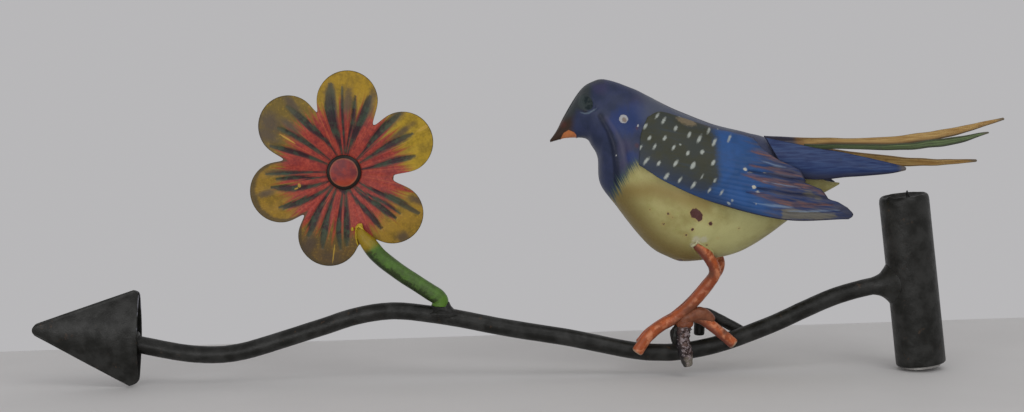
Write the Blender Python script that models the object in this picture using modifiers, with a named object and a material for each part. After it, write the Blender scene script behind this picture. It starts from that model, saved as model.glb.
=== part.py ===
"""Folk-art weather vane: a flower and a perched swallow on a wavy iron arrow.

The arrow turns on an upright spindle that stands inside its sleeve.
Everything is modelled in metres, +Z up, and written here in millimetres.

World frame: origin at the middle of the spindle's flat foot, +Z along the
sleeve, -X towards the arrowhead, -Y towards the side that is looked at.
Vane frame: the same axes, raised by RUNNING_GAP, so that the sleeve's lower
rim is at height 0. All the vane's own points are given in it.
"""
import math

import bmesh
import bpy
from mathutils import Vector
from mathutils.bvhtree import BVHTree

MM = 0.001
OBJECT_NAME = "whirligig"

# ---- driving dimensions, in millimetres ---------------------------------
FIT = 0.3                    # gap between pieces that touch
RUNNING_GAP = 1.5            # sleeve's lower rim above the spindle's foot

SLEEVE_RADIUS = 12.7
SLEEVE_BORE_RADIUS = 10.5
SLEEVE_LENGTH = 87.7
CAP_RECESS = 1.8
CAP_THICKNESS = 2.0
SPINDLE_RADIUS = 9.8
SPINDLE_DOME = 3.0

ARM_DIAMETER = 8.8
STEM_DIAMETER = 8.4
STEM_WELD_GAP = 0.7          # room inside the weld round the curved foot of the stem
LEG_DIAMETER = 5.9
TOE_DIAMETER = 5.6
RUSTY_TOE_DIAMETER = 7.0

PLATE_THICKNESS = 1.0
PLATE_BULGE = 7.0            # how far each arrow plate stands off at the back

PETAL_SHEET = 1.0
PETAL_HALF_WIDTH = 15.7
PETAL_HUB_RADIUS = 8.9
HUB_DOME = 1.6
HUB_EDGE = 0.9
FLOWER_CENTRE = (-282.3, 4.5, 134.5)

BODY_SHELL = 1.4
LEG_HOLE_GAP = 0.8           # room round a leg where it enters the body
SECTION_ROUNDNESS = 0.85     # 1 is an ellipse, less is fuller
WING_SHEET = 1.2
FAR_WING_LIFT = 12.5         # how much higher the far wing's lower rear corner is
FEATHER_SHEET = 1.1
SHEET_MARGIN = 0.6           # extra room between a flat-sided sheet and the body

# ---- resolution ----------------------------------------------------------
ROUND_STEPS = 32
ARC_STEPS = 10               # round half a body section
WIRE_RESOLUTION = 2
PETAL_STEPS = 84              # round the flower outline

# ---- hand-set routes, (x, y, z) in the vane frame ------------------------
ARM_ROUTE = [
    (-409.9, 0, 64.1), (-399.2, 0, 60.6), (-384.0, 0, 55.5), (-373.2, 0, 52.3),
    (-362.1, 0, 50.2), (-350.8, 0, 49.6), (-336.1, 0, 51.2), (-303.8, 0, 57.2),
    (-287.5, 0, 60.4), (-272.4, 0, 61.4), (-259.4, 0, 59.9), (-236.8, 0, 53.9),
    (-208.9, 0, 44.8), (-177.8, 0, 35.7), (-149.3, 0, 26.1), (-133.2, 0, 22.5),
    (-119.1, 0, 21.7), (-100.8, 0, 23.4), (-75.2, 0, 29.5), (-57.4, 0, 35.2), (-39.7, 0, 40.3),
    (-22.3, 0, 42.9), (-13.1, 0, 43.0),
]

# stem of the flower, from its thin end down to the arm, with its thickness
STEM_ROUTE = [
    (-277.6, -1.2, 105.0, 0.4), (-276.6, -1.9, 101.6, 0.7), (-273.7, -2, 96.6, 1),
    (-269.4, -1.2, 89.8, 1), (-260.9, -0.3, 81.0, 1), (-252.4, 0, 73.6, 1),
    (-246.9, 0, 68.9, 1), (-243.2, 0, 65.8, 1), (-241.8, 0, 63.3, 1), (-242.2, 0, 60.6, 1),
]

# petals, anticlockwise from the upright one: direction in degrees, length
PETALS = [(79.6, 52.0), (132.6, 52.2), (190.0, 49.6), (249.4, 49.3), (312.8, 48.2), (380.0, 49.4)]
NOTCH_RADII = [30.8, 31.0, 29.2, 37.5, 25.6, 28.8]

# The bird's sections run from the beak to the vent: a point on the back,
# the opposite point underneath, both (x, z), and the half-width.
BIRD_SECTIONS = [
    ((-175.9, 138.1), (-175.9, 137.0), 0.7),
    ((-172.1, 142.5), (-172.9, 137.4), 2.7),
    ((-167.4, 149.2), (-167.6, 138.0), 5.4),
    ((-157.8, 160.9), (-158.1, 136.7), 11.5),
    ((-151.2, 164.7), (-155.2, 132.5), 14.2),
    ((-144.0, 165.1), (-152.9, 126.0), 15.6),
    ((-130.4, 158.6), (-153.1, 112.8), 18.2),
    ((-114.3, 147.6), (-146.1, 99.9), 23.5),
    ((-95.1, 137.0), (-133.9, 80.4), 27.5),
    ((-85.3, 132.9), (-125.1, 72.6), 28),
    ((-76.4, 129.6), (-113.2, 68.0), 27),
    ((-64.0, 123.8), (-86.4, 69.9), 21),
    ((-48.0, 107.0), (-60.4, 82.6), 11.5),
    ((-39.6, 100.4), (-48.2, 90.8), 6),
    ((-31.9, 98.1), (-32.4, 97.2), 0.8),
]

# Sheets are cages of rows; each row runs from the root to the tip and holds
# (x, z, distance from the bird's middle plane).
WING_CAGE = [
    [(-126.9, 143.4, 15), (-118.3, 145.3, 13), (-100.5, 136.7, 12), (-84.0, 130.6, 11), (-74.5, 127.6, 12)],
    [(-131.0, 136.4, 20), (-113.2, 131.1, 22), (-95.3, 124.8, 22), (-79.5, 119.8, 21), (-66.2, 117.0, 19)],
    [(-132.5, 129.5, 22), (-116.3, 121.6, 26), (-97.4, 114.7, 27), (-75.5, 108.4, 25), (-52.8, 105.4, 20.5)],
    [(-133.2, 125.0, 22), (-119.0, 114.6, 28), (-99.6, 106.2, 29), (-72.6, 97.8, 27), (-41.2, 93.8, 21)],
    [(-133.6, 122.0, 22), (-122.0, 112.4, 28), (-99.5, 99.3, 30), (-65.5, 86.2, 28), (-32.4, 81.8, 22)],
]
BLADE_NEAR_CAGE = [
    [(-64.0, 125.2, 10), (-47.0, 119.3, 11), (-25.0, 112.4, 10), (-8.0, 106.3, 10), (0.3, 103.0, 10)],
    [(-61.5, 116.0, 15), (-46.5, 111.3, 14), (-25.5, 107.0, 13), (-8.5, 103.6, 12), (0.6, 102.2, 11)],
    [(-58.0, 105.5, 15), (-45.0, 102.8, 15), (-25.5, 101.6, 14), (-9.0, 100.9, 12), (0.0, 101.4, 11)],
]
BLADE_FAR_CAGE = [
    [(-50.0, 119.0, 4), (-32.0, 114.7, 5), (-7.3, 108.7, 6), (15.0, 103.9, 6), (40.2, 100.5, 6)],
    [(-50.0, 113.0, 7), (-32.0, 109.3, 8), (-7.9, 105.9, 8), (15.0, 101.9, 7), (40.7, 99.9, 6.5)],
    [(-50.0, 107.0, 9), (-32.0, 104.1, 9), (-8.5, 103.0, 9), (15.0, 100.2, 8), (40.2, 99.3, 7)],
]
STREAMER_UPPER_CAGE = [
    [(-57.0, 124.0, 13.5), (-27.7, 119.6, 13), (-0.3, 117.2, 12), (27.5, 117.7, 11), (57.0, 119.7, 10)],
    [(-57.0, 121.2, 13), (-27.8, 118.2, 12), (-0.3, 115.2, 10), (27.5, 115.6, 9), (57.4, 119.3, 9)],
    [(-57.0, 118.4, 12), (-27.8, 116.7, 10), (-0.3, 113.3, 8), (27.4, 113.7, 8), (57.2, 118.8, 9)],
]
STREAMER_UNDER_CAGE = [
    [(-48.0, 120.3, 2), (-28.9, 117.7, 2), (-1.7, 114.6, 3), (24.8, 114.4, 3), (45.2, 115.0, 4)],
    [(-48.0, 118.8, 1), (-28.9, 116.4, 1), (-1.7, 113.0, 2), (24.8, 112.4, 2), (45.7, 114.6, 4)],
    [(-48.0, 117.3, 0), (-28.9, 115.2, 0), (-1.7, 111.4, 1), (24.8, 110.4, 2), (45.5, 114.1, 4)],
]

# Each leg is one wire that ends as the outer front toe.
LEG_LEFT_ROUTE = [
    (-110.6, -19.4, 80.0), (-107.3, -17.8, 75.6), (-104.4, -15.9, 71.2), (-102.0, -14, 66.0),
    (-101.6, -12.8, 61.9), (-103.9, -11.6, 57.7), (-110.0, -10, 51.3), (-117.6, -8.8, 44.4),
    (-125.0, -7.6, 40.0), (-132.1, -7.6, 37.1), (-139.2, -8, 32.3), (-145.4, -8, 25.3),
]
LEG_RIGHT_ROUTE = [
    (-104.9, 17.5, 80.9), (-102.2, 16.6, 76.3), (-99.4, 15.7, 71.6), (-96.9, 14, 66.5),
    (-96.4, 12.8, 61.7), (-99.6, 11.6, 57.0), (-107.4, 10, 49.7), (-115.7, 8.8, 43.0),
    (-123.4, 7.8, 38.3), (-130.5, 7.8, 35.2), (-137.4, 8, 31.1), (-142.5, 8, 26.3),
]
TOE_LEFT_HIND_ROUTE = [
    (-114.3, -7.8, 40.1), (-110.9, -7.4, 38.5), (-107.5, -7.4, 35.8), (-103.7, -7.5, 32.2),
    (-99.7, -7.7, 28.0), (-95.3, -7.7, 23.1),
]
TOE_LEFT_FRONT_ROUTE = [
    (-119.3, -7.9, 35.8), (-120.7, -8.2, 32.2), (-121.2, -8.6, 27.1), (-120.6, -8.5, 21.4),
    (-120.0, -8.5, 15.1),
]
TOE_RIGHT_HIND_ROUTE = [
    (-110.7, 6.8, 38.6), (-106.3, 6.8, 38.5), (-101.3, 7.2, 35.2), (-95.8, 7.7, 31.4),
    (-91.2, 7.8, 28.1), (-87.0, 7.7, 24.8),
]
TOE_RIGHT_FRONT_ROUTE = [
    (-110.3, 7.8, 34.6), (-110.8, 8.1, 31.2), (-111.3, 8.1, 27.4),
]


# ---- scene helpers -------------------------------------------------------
def clear_scene():
    for old in list(bpy.data.objects):
        bpy.data.objects.remove(old, do_unlink=True)


def new_collection(name):
    collection = bpy.data.collections.new(name)
    bpy.context.scene.collection.children.link(collection)
    return collection


def paint(name, colour, roughness, metallic=0.0):
    """One Principled material, its colour given in linear values."""
    material = bpy.data.materials.new(name)
    material.use_nodes = True
    shader = material.node_tree.nodes["Principled BSDF"]
    shader.inputs["Base Color"].default_value = (*colour, 1.0)
    shader.inputs["Roughness"].default_value = roughness
    shader.inputs["Metallic"].default_value = metallic
    return material


def place(name, data, material=None, parent=None, cutter=False):
    obj = bpy.data.objects.new(name, data)
    (CUTTERS if cutter else PARTS).objects.link(obj)
    obj.parent = parent
    if material:
        data.materials.append(material)
    if cutter:
        obj.hide_render = True
        obj.display_type = "WIRE"
    return obj


def shade_round(mesh, angle=40):
    mesh.shade_smooth()
    mesh.set_sharp_from_angle(angle=math.radians(angle))


# ---- shape helpers -------------------------------------------------------
def smooth_curve(points, steps):
    """Catmull-Rom curve through points of any number of components."""
    ends = [[2 * a - b for a, b in zip(points[0], points[1])],
            [2 * a - b for a, b in zip(points[-1], points[-2])]]
    padded = [ends[0], *points, ends[1]]
    curve = []
    for i in range(len(points) - 1):
        p0, p1, p2, p3 = padded[i:i + 4]
        for step in range(steps):
            t = step / steps
            curve.append([
                0.5 * (2 * b + (c - a) * t + (2 * a - 5 * b + 4 * c - d) * t ** 2
                       + (3 * b - a - 3 * c + d) * t ** 3)
                for a, b, c, d in zip(p0, p1, p2, p3)])
    curve.append(list(points[-1]))
    return curve


def wire(name, route, diameter, material, parent, steps=3):
    """A round bar along a smooth route; a fourth value thins it."""
    curve = bpy.data.curves.new(name, "CURVE")
    curve.dimensions = "3D"
    curve.bevel_depth = diameter / 2 * MM
    curve.bevel_resolution = WIRE_RESOLUTION
    curve.use_fill_caps = True
    points = smooth_curve(route, steps)
    spline = curve.splines.new("POLY")
    spline.points.add(len(points) - 1)
    for point, values in zip(spline.points, points):
        point.co = (*(v * MM for v in values[:3]), 1.0)
        point.radius = values[3] if len(values) > 3 else 1.0
    return place(name, curve, material, parent)


def grid_mesh(name, rows):
    """An open surface through rows of points, each row equally long."""
    mesh = bmesh.new()
    lines = [[mesh.verts.new(Vector(p) * MM) for p in row] for row in rows]
    for upper, lower in zip(lines, lines[1:]):
        for i in range(len(upper) - 1):
            mesh.faces.new((upper[i], upper[i + 1], lower[i + 1], lower[i]))
    data = bpy.data.meshes.new(name)
    mesh.to_mesh(data)
    mesh.free()
    shade_round(data)
    return data


def loft_solid(name, rings):
    """A closed solid through rings of points, closed by flat ends."""
    mesh = bmesh.new()
    loops = [[mesh.verts.new(Vector(p) * MM) for p in ring] for ring in rings]
    for first, second in zip(loops, loops[1:]):
        for i in range(len(first)):
            j = (i + 1) % len(first)
            mesh.faces.new((first[i], first[j], second[j], second[i]))
    mesh.faces.new(list(reversed(loops[0])))
    mesh.faces.new(loops[-1])
    bmesh.ops.recalc_face_normals(mesh, faces=mesh.faces)
    data = bpy.data.meshes.new(name)
    mesh.to_mesh(data)
    mesh.free()
    shade_round(data)
    return data


def thicken(obj, thickness):
    solid = obj.modifiers.new("Solidify", "SOLIDIFY")
    solid.thickness = thickness * MM
    solid.offset = 0.0
    solid.use_even_offset = True
    return obj


def turned(name, profile, material, parent, steps=ROUND_STEPS):
    """A solid of revolution about Z, from a profile of (radius, height)."""
    data = bpy.data.meshes.new(name)
    vertices = [(r * MM, 0.0, z * MM) for r, z in profile]
    data.from_pydata(vertices, [(i, i + 1) for i in range(len(profile) - 1)], [])
    obj = place(name, data, material, parent)
    screw = obj.modifiers.new("Screw", "SCREW")
    screw.steps = steps
    screw.render_steps = steps
    screw.use_merge_vertices = True
    screw.merge_threshold = 0.00005
    screw.use_smooth_shade = True
    return obj


def cut(obj, cutter):
    boolean = obj.modifiers.new("Boolean", "BOOLEAN")
    boolean.operation = "DIFFERENCE"
    boolean.solver = "EXACT"
    boolean.object = cutter
    return obj


def rod_cutter(name, start, end, radius, parent):
    """A straight cylinder from start to end, to clear room for a bar."""
    a, b = Vector(start), Vector(end)
    mesh = bmesh.new()
    bmesh.ops.create_cone(
        mesh, cap_ends=True, segments=24, radius1=radius * MM, radius2=radius * MM,
        depth=(b - a).length * MM)
    data = bpy.data.meshes.new(name)
    mesh.to_mesh(data)
    mesh.free()
    obj = place(name, data, parent=parent, cutter=True)
    obj.location = (a + b) / 2 * MM
    obj.rotation_euler = (b - a).to_track_quat("Z", "Y").to_euler()
    return obj


# ---- pivot ---------------------------------------------------------------
def make_spindle(materials):
    """Upright steel bar on which the vane turns; it stands in world space."""
    cap_underside = RUNNING_GAP + SLEEVE_LENGTH - CAP_RECESS - CAP_THICKNESS
    top = cap_underside - FIT
    shoulder = top - SPINDLE_DOME
    dome = [(SPINDLE_RADIUS * math.sin(a), shoulder + SPINDLE_DOME * math.cos(a))
            for a in (math.pi / 2 * i / 6 for i in range(7))]
    profile = [*dome, (SPINDLE_RADIUS, 0.0), (0.0, 0.0)]
    return turned("pivot_spindle", profile, materials["steel"], None)


def make_sleeve(materials, vane):
    r, bore, top = SLEEVE_RADIUS, SLEEVE_BORE_RADIUS, SLEEVE_LENGTH
    profile = [
        (r, 0.4), (r - 0.3, 0.0), (bore + 0.3, 0.0), (bore, 0.4),
        (bore, top - 0.5), (bore + 0.4, top - 0.1), (r - 1.1, top),
        (r - 0.4, top - 0.6), (r, top - 2.0), (r, 0.4)]
    sleeve = turned("pivot_sleeve", profile, materials["black"], vane)
    cap_top = top - CAP_RECESS
    cap_radius = bore - FIT
    cap = [(0.0, cap_top), (cap_radius - 0.6, cap_top), (cap_radius, cap_top - 0.6),
           (cap_radius, cap_top - CAP_THICKNESS), (0.0, cap_top - CAP_THICKNESS)]
    turned("sleeve_cap", cap, materials["black"], vane)
    return sleeve


def make_arm_weld(materials, vane):
    """Flared weld where the arm meets the sleeve."""
    inner = ARM_DIAMETER / 2 + FIT
    length = 9.0
    profile = [(inner, length), (inner + 0.5, length), (inner + 1.1, 5.5),
               (inner + 2.6, 2.6), (inner + 5.4, 0.4), (inner + 5.6, -2.5),
               (inner, -2.5), (inner, length)]
    weld = turned("arm_sleeve_weld", profile, materials["black"], vane, steps=24)
    weld.rotation_euler = (0.0, math.radians(-90), 0.0)
    weld.location = (-SLEEVE_RADIUS * MM, 0.0, ARM_ROUTE[-1][2] * MM)
    clear = SLEEVE_RADIUS + FIT
    cutter = rod_cutter("sleeve_room", (0, 0, 20), (0, 0, 65), clear, vane)
    cut(weld, cutter)


# ---- arrow ---------------------------------------------------------------
def plate_point(u, v, side):
    """A point of an arrow plate: u from tip to back, v from low to high."""
    tip_low, tip_high = Vector((-449.6, 71.4)), Vector((-448.4, 77.2))
    back_low, back_high = Vector((-405.6, 39.4)), Vector((-396.7, 88.2))
    low, high = tip_low.lerp(back_low, u), tip_high.lerp(back_high, u)
    x, z = low.lerp(high, v)
    x -= 1.8 * (1 - (2 * v - 1) ** 2) * (1 - u) ** 8
    x += (5.0 - 1.6 * v) * (1 - (2 * v - 1) ** 30) * u ** 6
    across = 1 - abs(2 * v - 1) ** 1.8
    stand_off = (PLATE_THICKNESS + FIT) / 2 + PLATE_BULGE * across * u ** 0.9
    return (x, side * stand_off, z)


def make_arrowhead(materials, vane):
    for name, side in (("arrowhead_front_plate", -1), ("arrowhead_back_plate", 1)):
        heights = [0.5 - 0.5 * math.cos(math.pi * j / 12) for j in range(13)]
        rows = [[plate_point(i / 10, v, side) for i in range(11)] for v in heights]
        plate = place(name, grid_mesh(name, rows), materials["black"], vane)
        thicken(plate, PLATE_THICKNESS)


# ---- flower --------------------------------------------------------------
def petal_reach(angle):
    """Radius of the flower's outline at an angle in degrees."""
    turn = (angle - PETALS[0][0]) % 360 + PETALS[0][0]
    centres = [a for a, _ in PETALS] + [PETALS[0][0] + 360]
    lengths = [r for _, r in PETALS] + [PETALS[0][1]]
    best = 0.0
    for centre, length in zip(centres, lengths):
        off = math.radians(turn - centre)
        middle = length - PETAL_HALF_WIDTH
        side = middle * math.sin(off)
        if abs(side) < PETAL_HALF_WIDTH and math.cos(off) > 0:
            best = max(best, middle * math.cos(off) + math.sqrt(PETAL_HALF_WIDTH ** 2 - side ** 2))
    for i, notch in enumerate(NOTCH_RADII):
        if centres[i] <= turn <= centres[i + 1]:
            best = max(best, notch)
    return best


def flower_point(radius, angle):
    """A point of the dished flower, at a radius and an angle in degrees."""
    a = math.radians(angle)
    dish = 2.2 * math.cos(math.pi * min(radius, 52) / 30)
    return Vector(FLOWER_CENTRE) + Vector((radius * math.cos(a), dish, radius * math.sin(a)))


def make_flower(materials, vane):
    rings = (0.12, 0.32, 0.52, 0.70, 0.86, 1.0)
    angles = [360 * i / PETAL_STEPS for i in range(PETAL_STEPS)]
    mesh = bmesh.new()
    centre = mesh.verts.new(flower_point(0, 0) * MM)
    loops = [[mesh.verts.new(flower_point(ring * petal_reach(a), a) * MM) for a in angles]
             for ring in rings]
    for i in range(len(angles)):
        j = (i + 1) % len(angles)
        mesh.faces.new((centre, loops[0][i], loops[0][j]))
        for inner, outer in zip(loops, loops[1:]):
            mesh.faces.new((inner[i], outer[i], outer[j], inner[j]))
    data = bpy.data.meshes.new("flower_petals")
    mesh.to_mesh(data)
    mesh.free()
    shade_round(data)
    thicken(place("flower_petals", data, materials["ochre"], vane), PETAL_SHEET)

    dome = [(PETAL_HUB_RADIUS * math.sin(a), HUB_DOME * math.cos(a))
            for a in (math.pi / 2 * i / 5 for i in range(6))]
    profile = [*dome, (PETAL_HUB_RADIUS, -HUB_EDGE), (0.0, -HUB_EDGE)]
    hub = turned("flower_centre", profile, materials["red"], vane, steps=24)
    hub.rotation_euler = (math.radians(90), 0.0, 0.0)
    seat = flower_point(PETAL_HUB_RADIUS, 0).y - PETAL_SHEET / 2 - 1.5 * FIT
    hub.location = Vector((FLOWER_CENTRE[0], seat - HUB_EDGE, FLOWER_CENTRE[2])) * MM

    wire("flower_stem", STEM_ROUTE, STEM_DIAMETER, materials["green"], vane)
    make_stem_joints(materials, vane)


def make_stem_joints(materials, vane):
    """The braze at the stem's thin end and the weld at its foot."""
    mesh = bmesh.new()
    bmesh.ops.create_uvsphere(mesh, u_segments=16, v_segments=10, radius=1.0)
    bmesh.ops.scale(mesh, vec=Vector((2.2, 1.3, 1.6)) * MM, verts=mesh.verts)
    data = bpy.data.meshes.new("stem_flower_braze")
    mesh.to_mesh(data)
    mesh.free()
    shade_round(data)
    braze = place("stem_flower_braze", data, materials["ochre"], vane)
    braze.location = Vector((-278.0, 0.2, 107.6)) * MM

    inner = STEM_DIAMETER / 2 + STEM_WELD_GAP
    profile = [(inner, 0.6), (inner + 0.5, 0.4), (inner + 1.4, -0.8), (inner + 2.0, -2.4),
               (inner + 1.8, -4.0), (inner, -4.0), (inner, 0.6)]
    weld = turned("stem_arm_weld", profile, materials["black"], vane, steps=24)
    weld.location = Vector((-242.0, 0.0, 61.1)) * MM
    weld.rotation_euler = (0.0, math.radians(13), 0.0)
    room = ARM_DIAMETER / 2 + FIT + 0.4
    cutter = rod_cutter("arm_room", (-259.3, 0, 60.5), (-224.4, 0, 49.3), room, vane)
    cut(weld, cutter)


# ---- bird ----------------------------------------------------------------
def bird_sections(steps):
    flat = [[*top, *bottom, width] for top, bottom, width in BIRD_SECTIONS]
    return smooth_curve(flat, steps)


def section_ring(section, side, inset, past_middle):
    """Half a body section as a closed ring, shrunk by inset."""
    top_x, top_z, low_x, low_z, width = section
    top, low = Vector((top_x, 0, top_z)), Vector((low_x, 0, low_z))
    middle, half = (top + low) / 2, (top - low) / 2
    half *= max(half.length - inset, 0.1) / half.length
    width = max(width - inset, 0.1)
    start = side * FIT / 2
    ring = []
    for i in range(ARC_STEPS + 1):
        a = math.pi * i / ARC_STEPS
        out = width * max(math.sin(a), 0.0) ** SECTION_ROUNDNESS
        ring.append(middle + half * math.cos(a) + Vector((0, start + side * out, 0)))
    if past_middle:
        ring[0].y = ring[-1].y = -side * past_middle
    return ring


def make_bird_half(name, side, leg, materials, vane):
    """One stamped half of the hollow body, with a hole for its leg.

    Returns the uncut outer surface as a tree, for laying sheets on it.
    """
    sections = bird_sections(2)
    outer = loft_solid(name, [section_ring(s, side, 0.0, 0.0) for s in sections])
    half = place(name, outer, materials["blue"], vane)
    start, end = Vector(leg[0]), Vector(leg[2])
    reach = (start - end) * 0.6
    hole_radius = LEG_DIAMETER / 2 + LEG_HOLE_GAP
    cut(half, rod_cutter(name + "_leg_hole", start + reach, end - reach, hole_radius, vane))
    hollow = [s for s in sections if s[4] > 4.0 * BODY_SHELL]
    inner = loft_solid(name + "_hollow", [section_ring(s, side, BODY_SHELL, 2.0) for s in hollow])
    cut(half, place(name + "_hollow", inner, parent=vane, cutter=True))
    mesh = bmesh.new()
    mesh.from_mesh(outer)
    middle = [f for f in mesh.faces if all(abs(v.co.y) < FIT * MM for v in f.verts)]
    bmesh.ops.delete(mesh, geom=middle, context="FACES")
    tree = BVHTree.FromBMesh(mesh)
    mesh.free()
    return tree


def keep_clear(point, tree, gap):
    """Lift a point of a sheet off the body, so that it clears it by gap."""
    nearest, normal = tree.find_nearest(Vector(point) * MM)[:2]
    offset = Vector(point) - nearest / MM
    inside = offset.dot(normal) < -0.5 * offset.length
    if offset.length >= gap and not inside:
        return point
    return tuple(nearest / MM + normal * gap)


def sheet(name, cage, side, thickness, material, vane, tree, across=2, ridges=0.0, lift=0.0):
    """A thin sheet through a cage of rows, kept off the body's surface.

    ridges pleats it towards the tip, lift raises its lower rear corner.
    """
    long_rows = [smooth_curve(row, 3) for row in cage]
    columns = [smooth_curve(list(column), across) for column in zip(*long_rows)]
    rows = []
    for i, column in enumerate(columns):
        along = i / (len(columns) - 1)
        row = []
        for j, (x, z, out) in enumerate(column):
            down = j / (len(column) - 1)
            out += ridges * along * (1 if j % 2 else -1)
            point = (x, side * out, z + lift * down * along ** 2)
            row.append(keep_clear(point, tree, FIT + thickness / 2 + SHEET_MARGIN))
        rows.append(row)
    return thicken(place(name, grid_mesh(name, rows), material, vane), thickness)


def make_bird(materials, vane):
    trees = {
        -1: make_bird_half("bird_body_left", -1, LEG_LEFT_ROUTE, materials, vane),
        1: make_bird_half("bird_body_right", 1, LEG_RIGHT_ROUTE, materials, vane),
    }
    sheet("wing_left", WING_CAGE, -1, WING_SHEET, materials["blue"], vane, trees[-1], 4, 0.5)
    sheet("wing_right", WING_CAGE, 1, WING_SHEET, materials["blue"], vane, trees[1], 4, 0.5, FAR_WING_LIFT)
    sheet("tail_blade_left", BLADE_NEAR_CAGE, -1, FEATHER_SHEET, materials["blue"], vane, trees[-1])
    sheet("tail_blade_right", BLADE_FAR_CAGE, 1, FEATHER_SHEET, materials["tan"], vane, trees[1])
    sheet("tail_streamer_upper", STREAMER_UPPER_CAGE, 1, FEATHER_SHEET, materials["tan"], vane, trees[1])
    sheet("tail_streamer_under", STREAMER_UNDER_CAGE, -1, FEATHER_SHEET, materials["leaf"], vane, trees[-1])


def make_legs(materials, vane):
    orange, rust, black = materials["orange"], materials["rust"], materials["black"]
    wire("leg_left", LEG_LEFT_ROUTE, LEG_DIAMETER, orange, vane)
    wire("leg_right", LEG_RIGHT_ROUTE, LEG_DIAMETER, orange, vane)
    wire("toe_left_hind", TOE_LEFT_HIND_ROUTE, TOE_DIAMETER, orange, vane)
    wire("toe_left_front", TOE_LEFT_FRONT_ROUTE, RUSTY_TOE_DIAMETER, rust, vane)
    wire("toe_right_hind", TOE_RIGHT_HIND_ROUTE, TOE_DIAMETER, black, vane)
    wire("toe_right_front", TOE_RIGHT_FRONT_ROUTE, TOE_DIAMETER, black, vane)


# ---- assembly ------------------------------------------------------------
def make_materials():
    return {
        "steel": paint("bare_steel", (0.30, 0.29, 0.28), 0.40, 1.0),
        "black": paint("black_paint", (0.024, 0.024, 0.023), 0.45),
        "blue": paint("blue_paint", (0.025, 0.075, 0.25), 0.40),
        "ochre": paint("ochre_paint", (0.36, 0.22, 0.035), 0.45),
        "red": paint("red_paint", (0.30, 0.045, 0.025), 0.45),
        "green": paint("green_paint", (0.06, 0.14, 0.03), 0.45),
        "tan": paint("tan_paint", (0.30, 0.17, 0.06), 0.60),
        "leaf": paint("leaf_green_paint", (0.08, 0.16, 0.05), 0.55),
        "orange": paint("orange_paint", (0.38, 0.09, 0.025), 0.50),
        "rust": paint("rusty_iron", (0.09, 0.06, 0.05), 0.75),
    }


def build():
    materials = make_materials()
    vane = bpy.data.objects.new("vane_axis", None)
    PARTS.objects.link(vane)
    vane.location = (0.0, 0.0, RUNNING_GAP * MM)
    make_spindle(materials)
    make_sleeve(materials, vane)
    make_arm_weld(materials, vane)
    wire("arrow_arm", ARM_ROUTE, ARM_DIAMETER, materials["black"], vane)
    make_arrowhead(materials, vane)
    make_flower(materials, vane)
    make_bird(materials, vane)
    make_legs(materials, vane)


clear_scene()
PARTS = new_collection(OBJECT_NAME)
CUTTERS = new_collection("cutters")
build()
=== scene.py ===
import math

import bmesh
import bpy
import numpy as np
from mathutils import Matrix, Vector, noise
from mathutils.bvhtree import BVHTree


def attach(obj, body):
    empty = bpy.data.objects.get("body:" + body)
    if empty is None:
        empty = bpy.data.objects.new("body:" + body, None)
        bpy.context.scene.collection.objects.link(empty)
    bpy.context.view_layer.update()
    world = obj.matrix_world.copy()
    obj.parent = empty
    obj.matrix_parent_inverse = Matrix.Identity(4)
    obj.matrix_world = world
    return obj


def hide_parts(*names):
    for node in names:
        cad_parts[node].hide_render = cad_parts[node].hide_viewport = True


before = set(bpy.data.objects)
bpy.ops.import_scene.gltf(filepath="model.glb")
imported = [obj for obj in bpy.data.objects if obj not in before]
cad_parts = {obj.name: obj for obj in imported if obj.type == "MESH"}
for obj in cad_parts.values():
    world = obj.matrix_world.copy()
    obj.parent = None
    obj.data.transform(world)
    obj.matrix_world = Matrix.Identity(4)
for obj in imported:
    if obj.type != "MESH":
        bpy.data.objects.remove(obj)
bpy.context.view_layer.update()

# Looks of a folk-art weather vane: a painted tin flower and a hollow painted
# swallow on a wavy black iron arrow.
#
# Shapes are written in millimetres in the vane frame, which is the world frame
# lowered by RUNNING_GAP: +Z up along the sleeve, -X to the arrowhead, -Y to the
# bird's left side. Paint is laid out by fields: numbers kept on the vertices,
# mostly millimetres inside a mark's outline, which the materials read and fray.

MM = 0.001
RUNNING_GAP = 1.5
LEFT, RIGHT = -1, 1

# ---- sizes and routes repeated from the part, in millimetres --------------
FIT = 0.3
SLEEVE_RADIUS, SLEEVE_BORE_RADIUS, SLEEVE_LENGTH = 12.7, 10.5, 87.7
CAP_TOP = 85.9
ARM_RADIUS, STEM_RADIUS, LEG_RADIUS, TOE_RADIUS, RUSTY_TOE_RADIUS = 4.4, 4.2, 2.95, 2.8, 3.5
ARM_END_HEIGHT = 43.0
FLOWER_CENTRE = np.array([-282.3, 4.5, 134.5])
PETAL_HALF_WIDTH, PETAL_HUB_RADIUS = 15.7, 8.9
PETALS = [(79.6, 52.0), (132.6, 52.2), (190.0, 49.6), (249.4, 49.3), (312.8, 48.2), (380.0, 49.4)]
NOTCH_RADII = [30.8, 31.0, 29.2, 37.5, 25.6, 28.8]
SECTION_ROUNDNESS = 0.85
FAR_WING_LIFT = 12.5                          # how much higher the far wing's lower rear corner is

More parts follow.
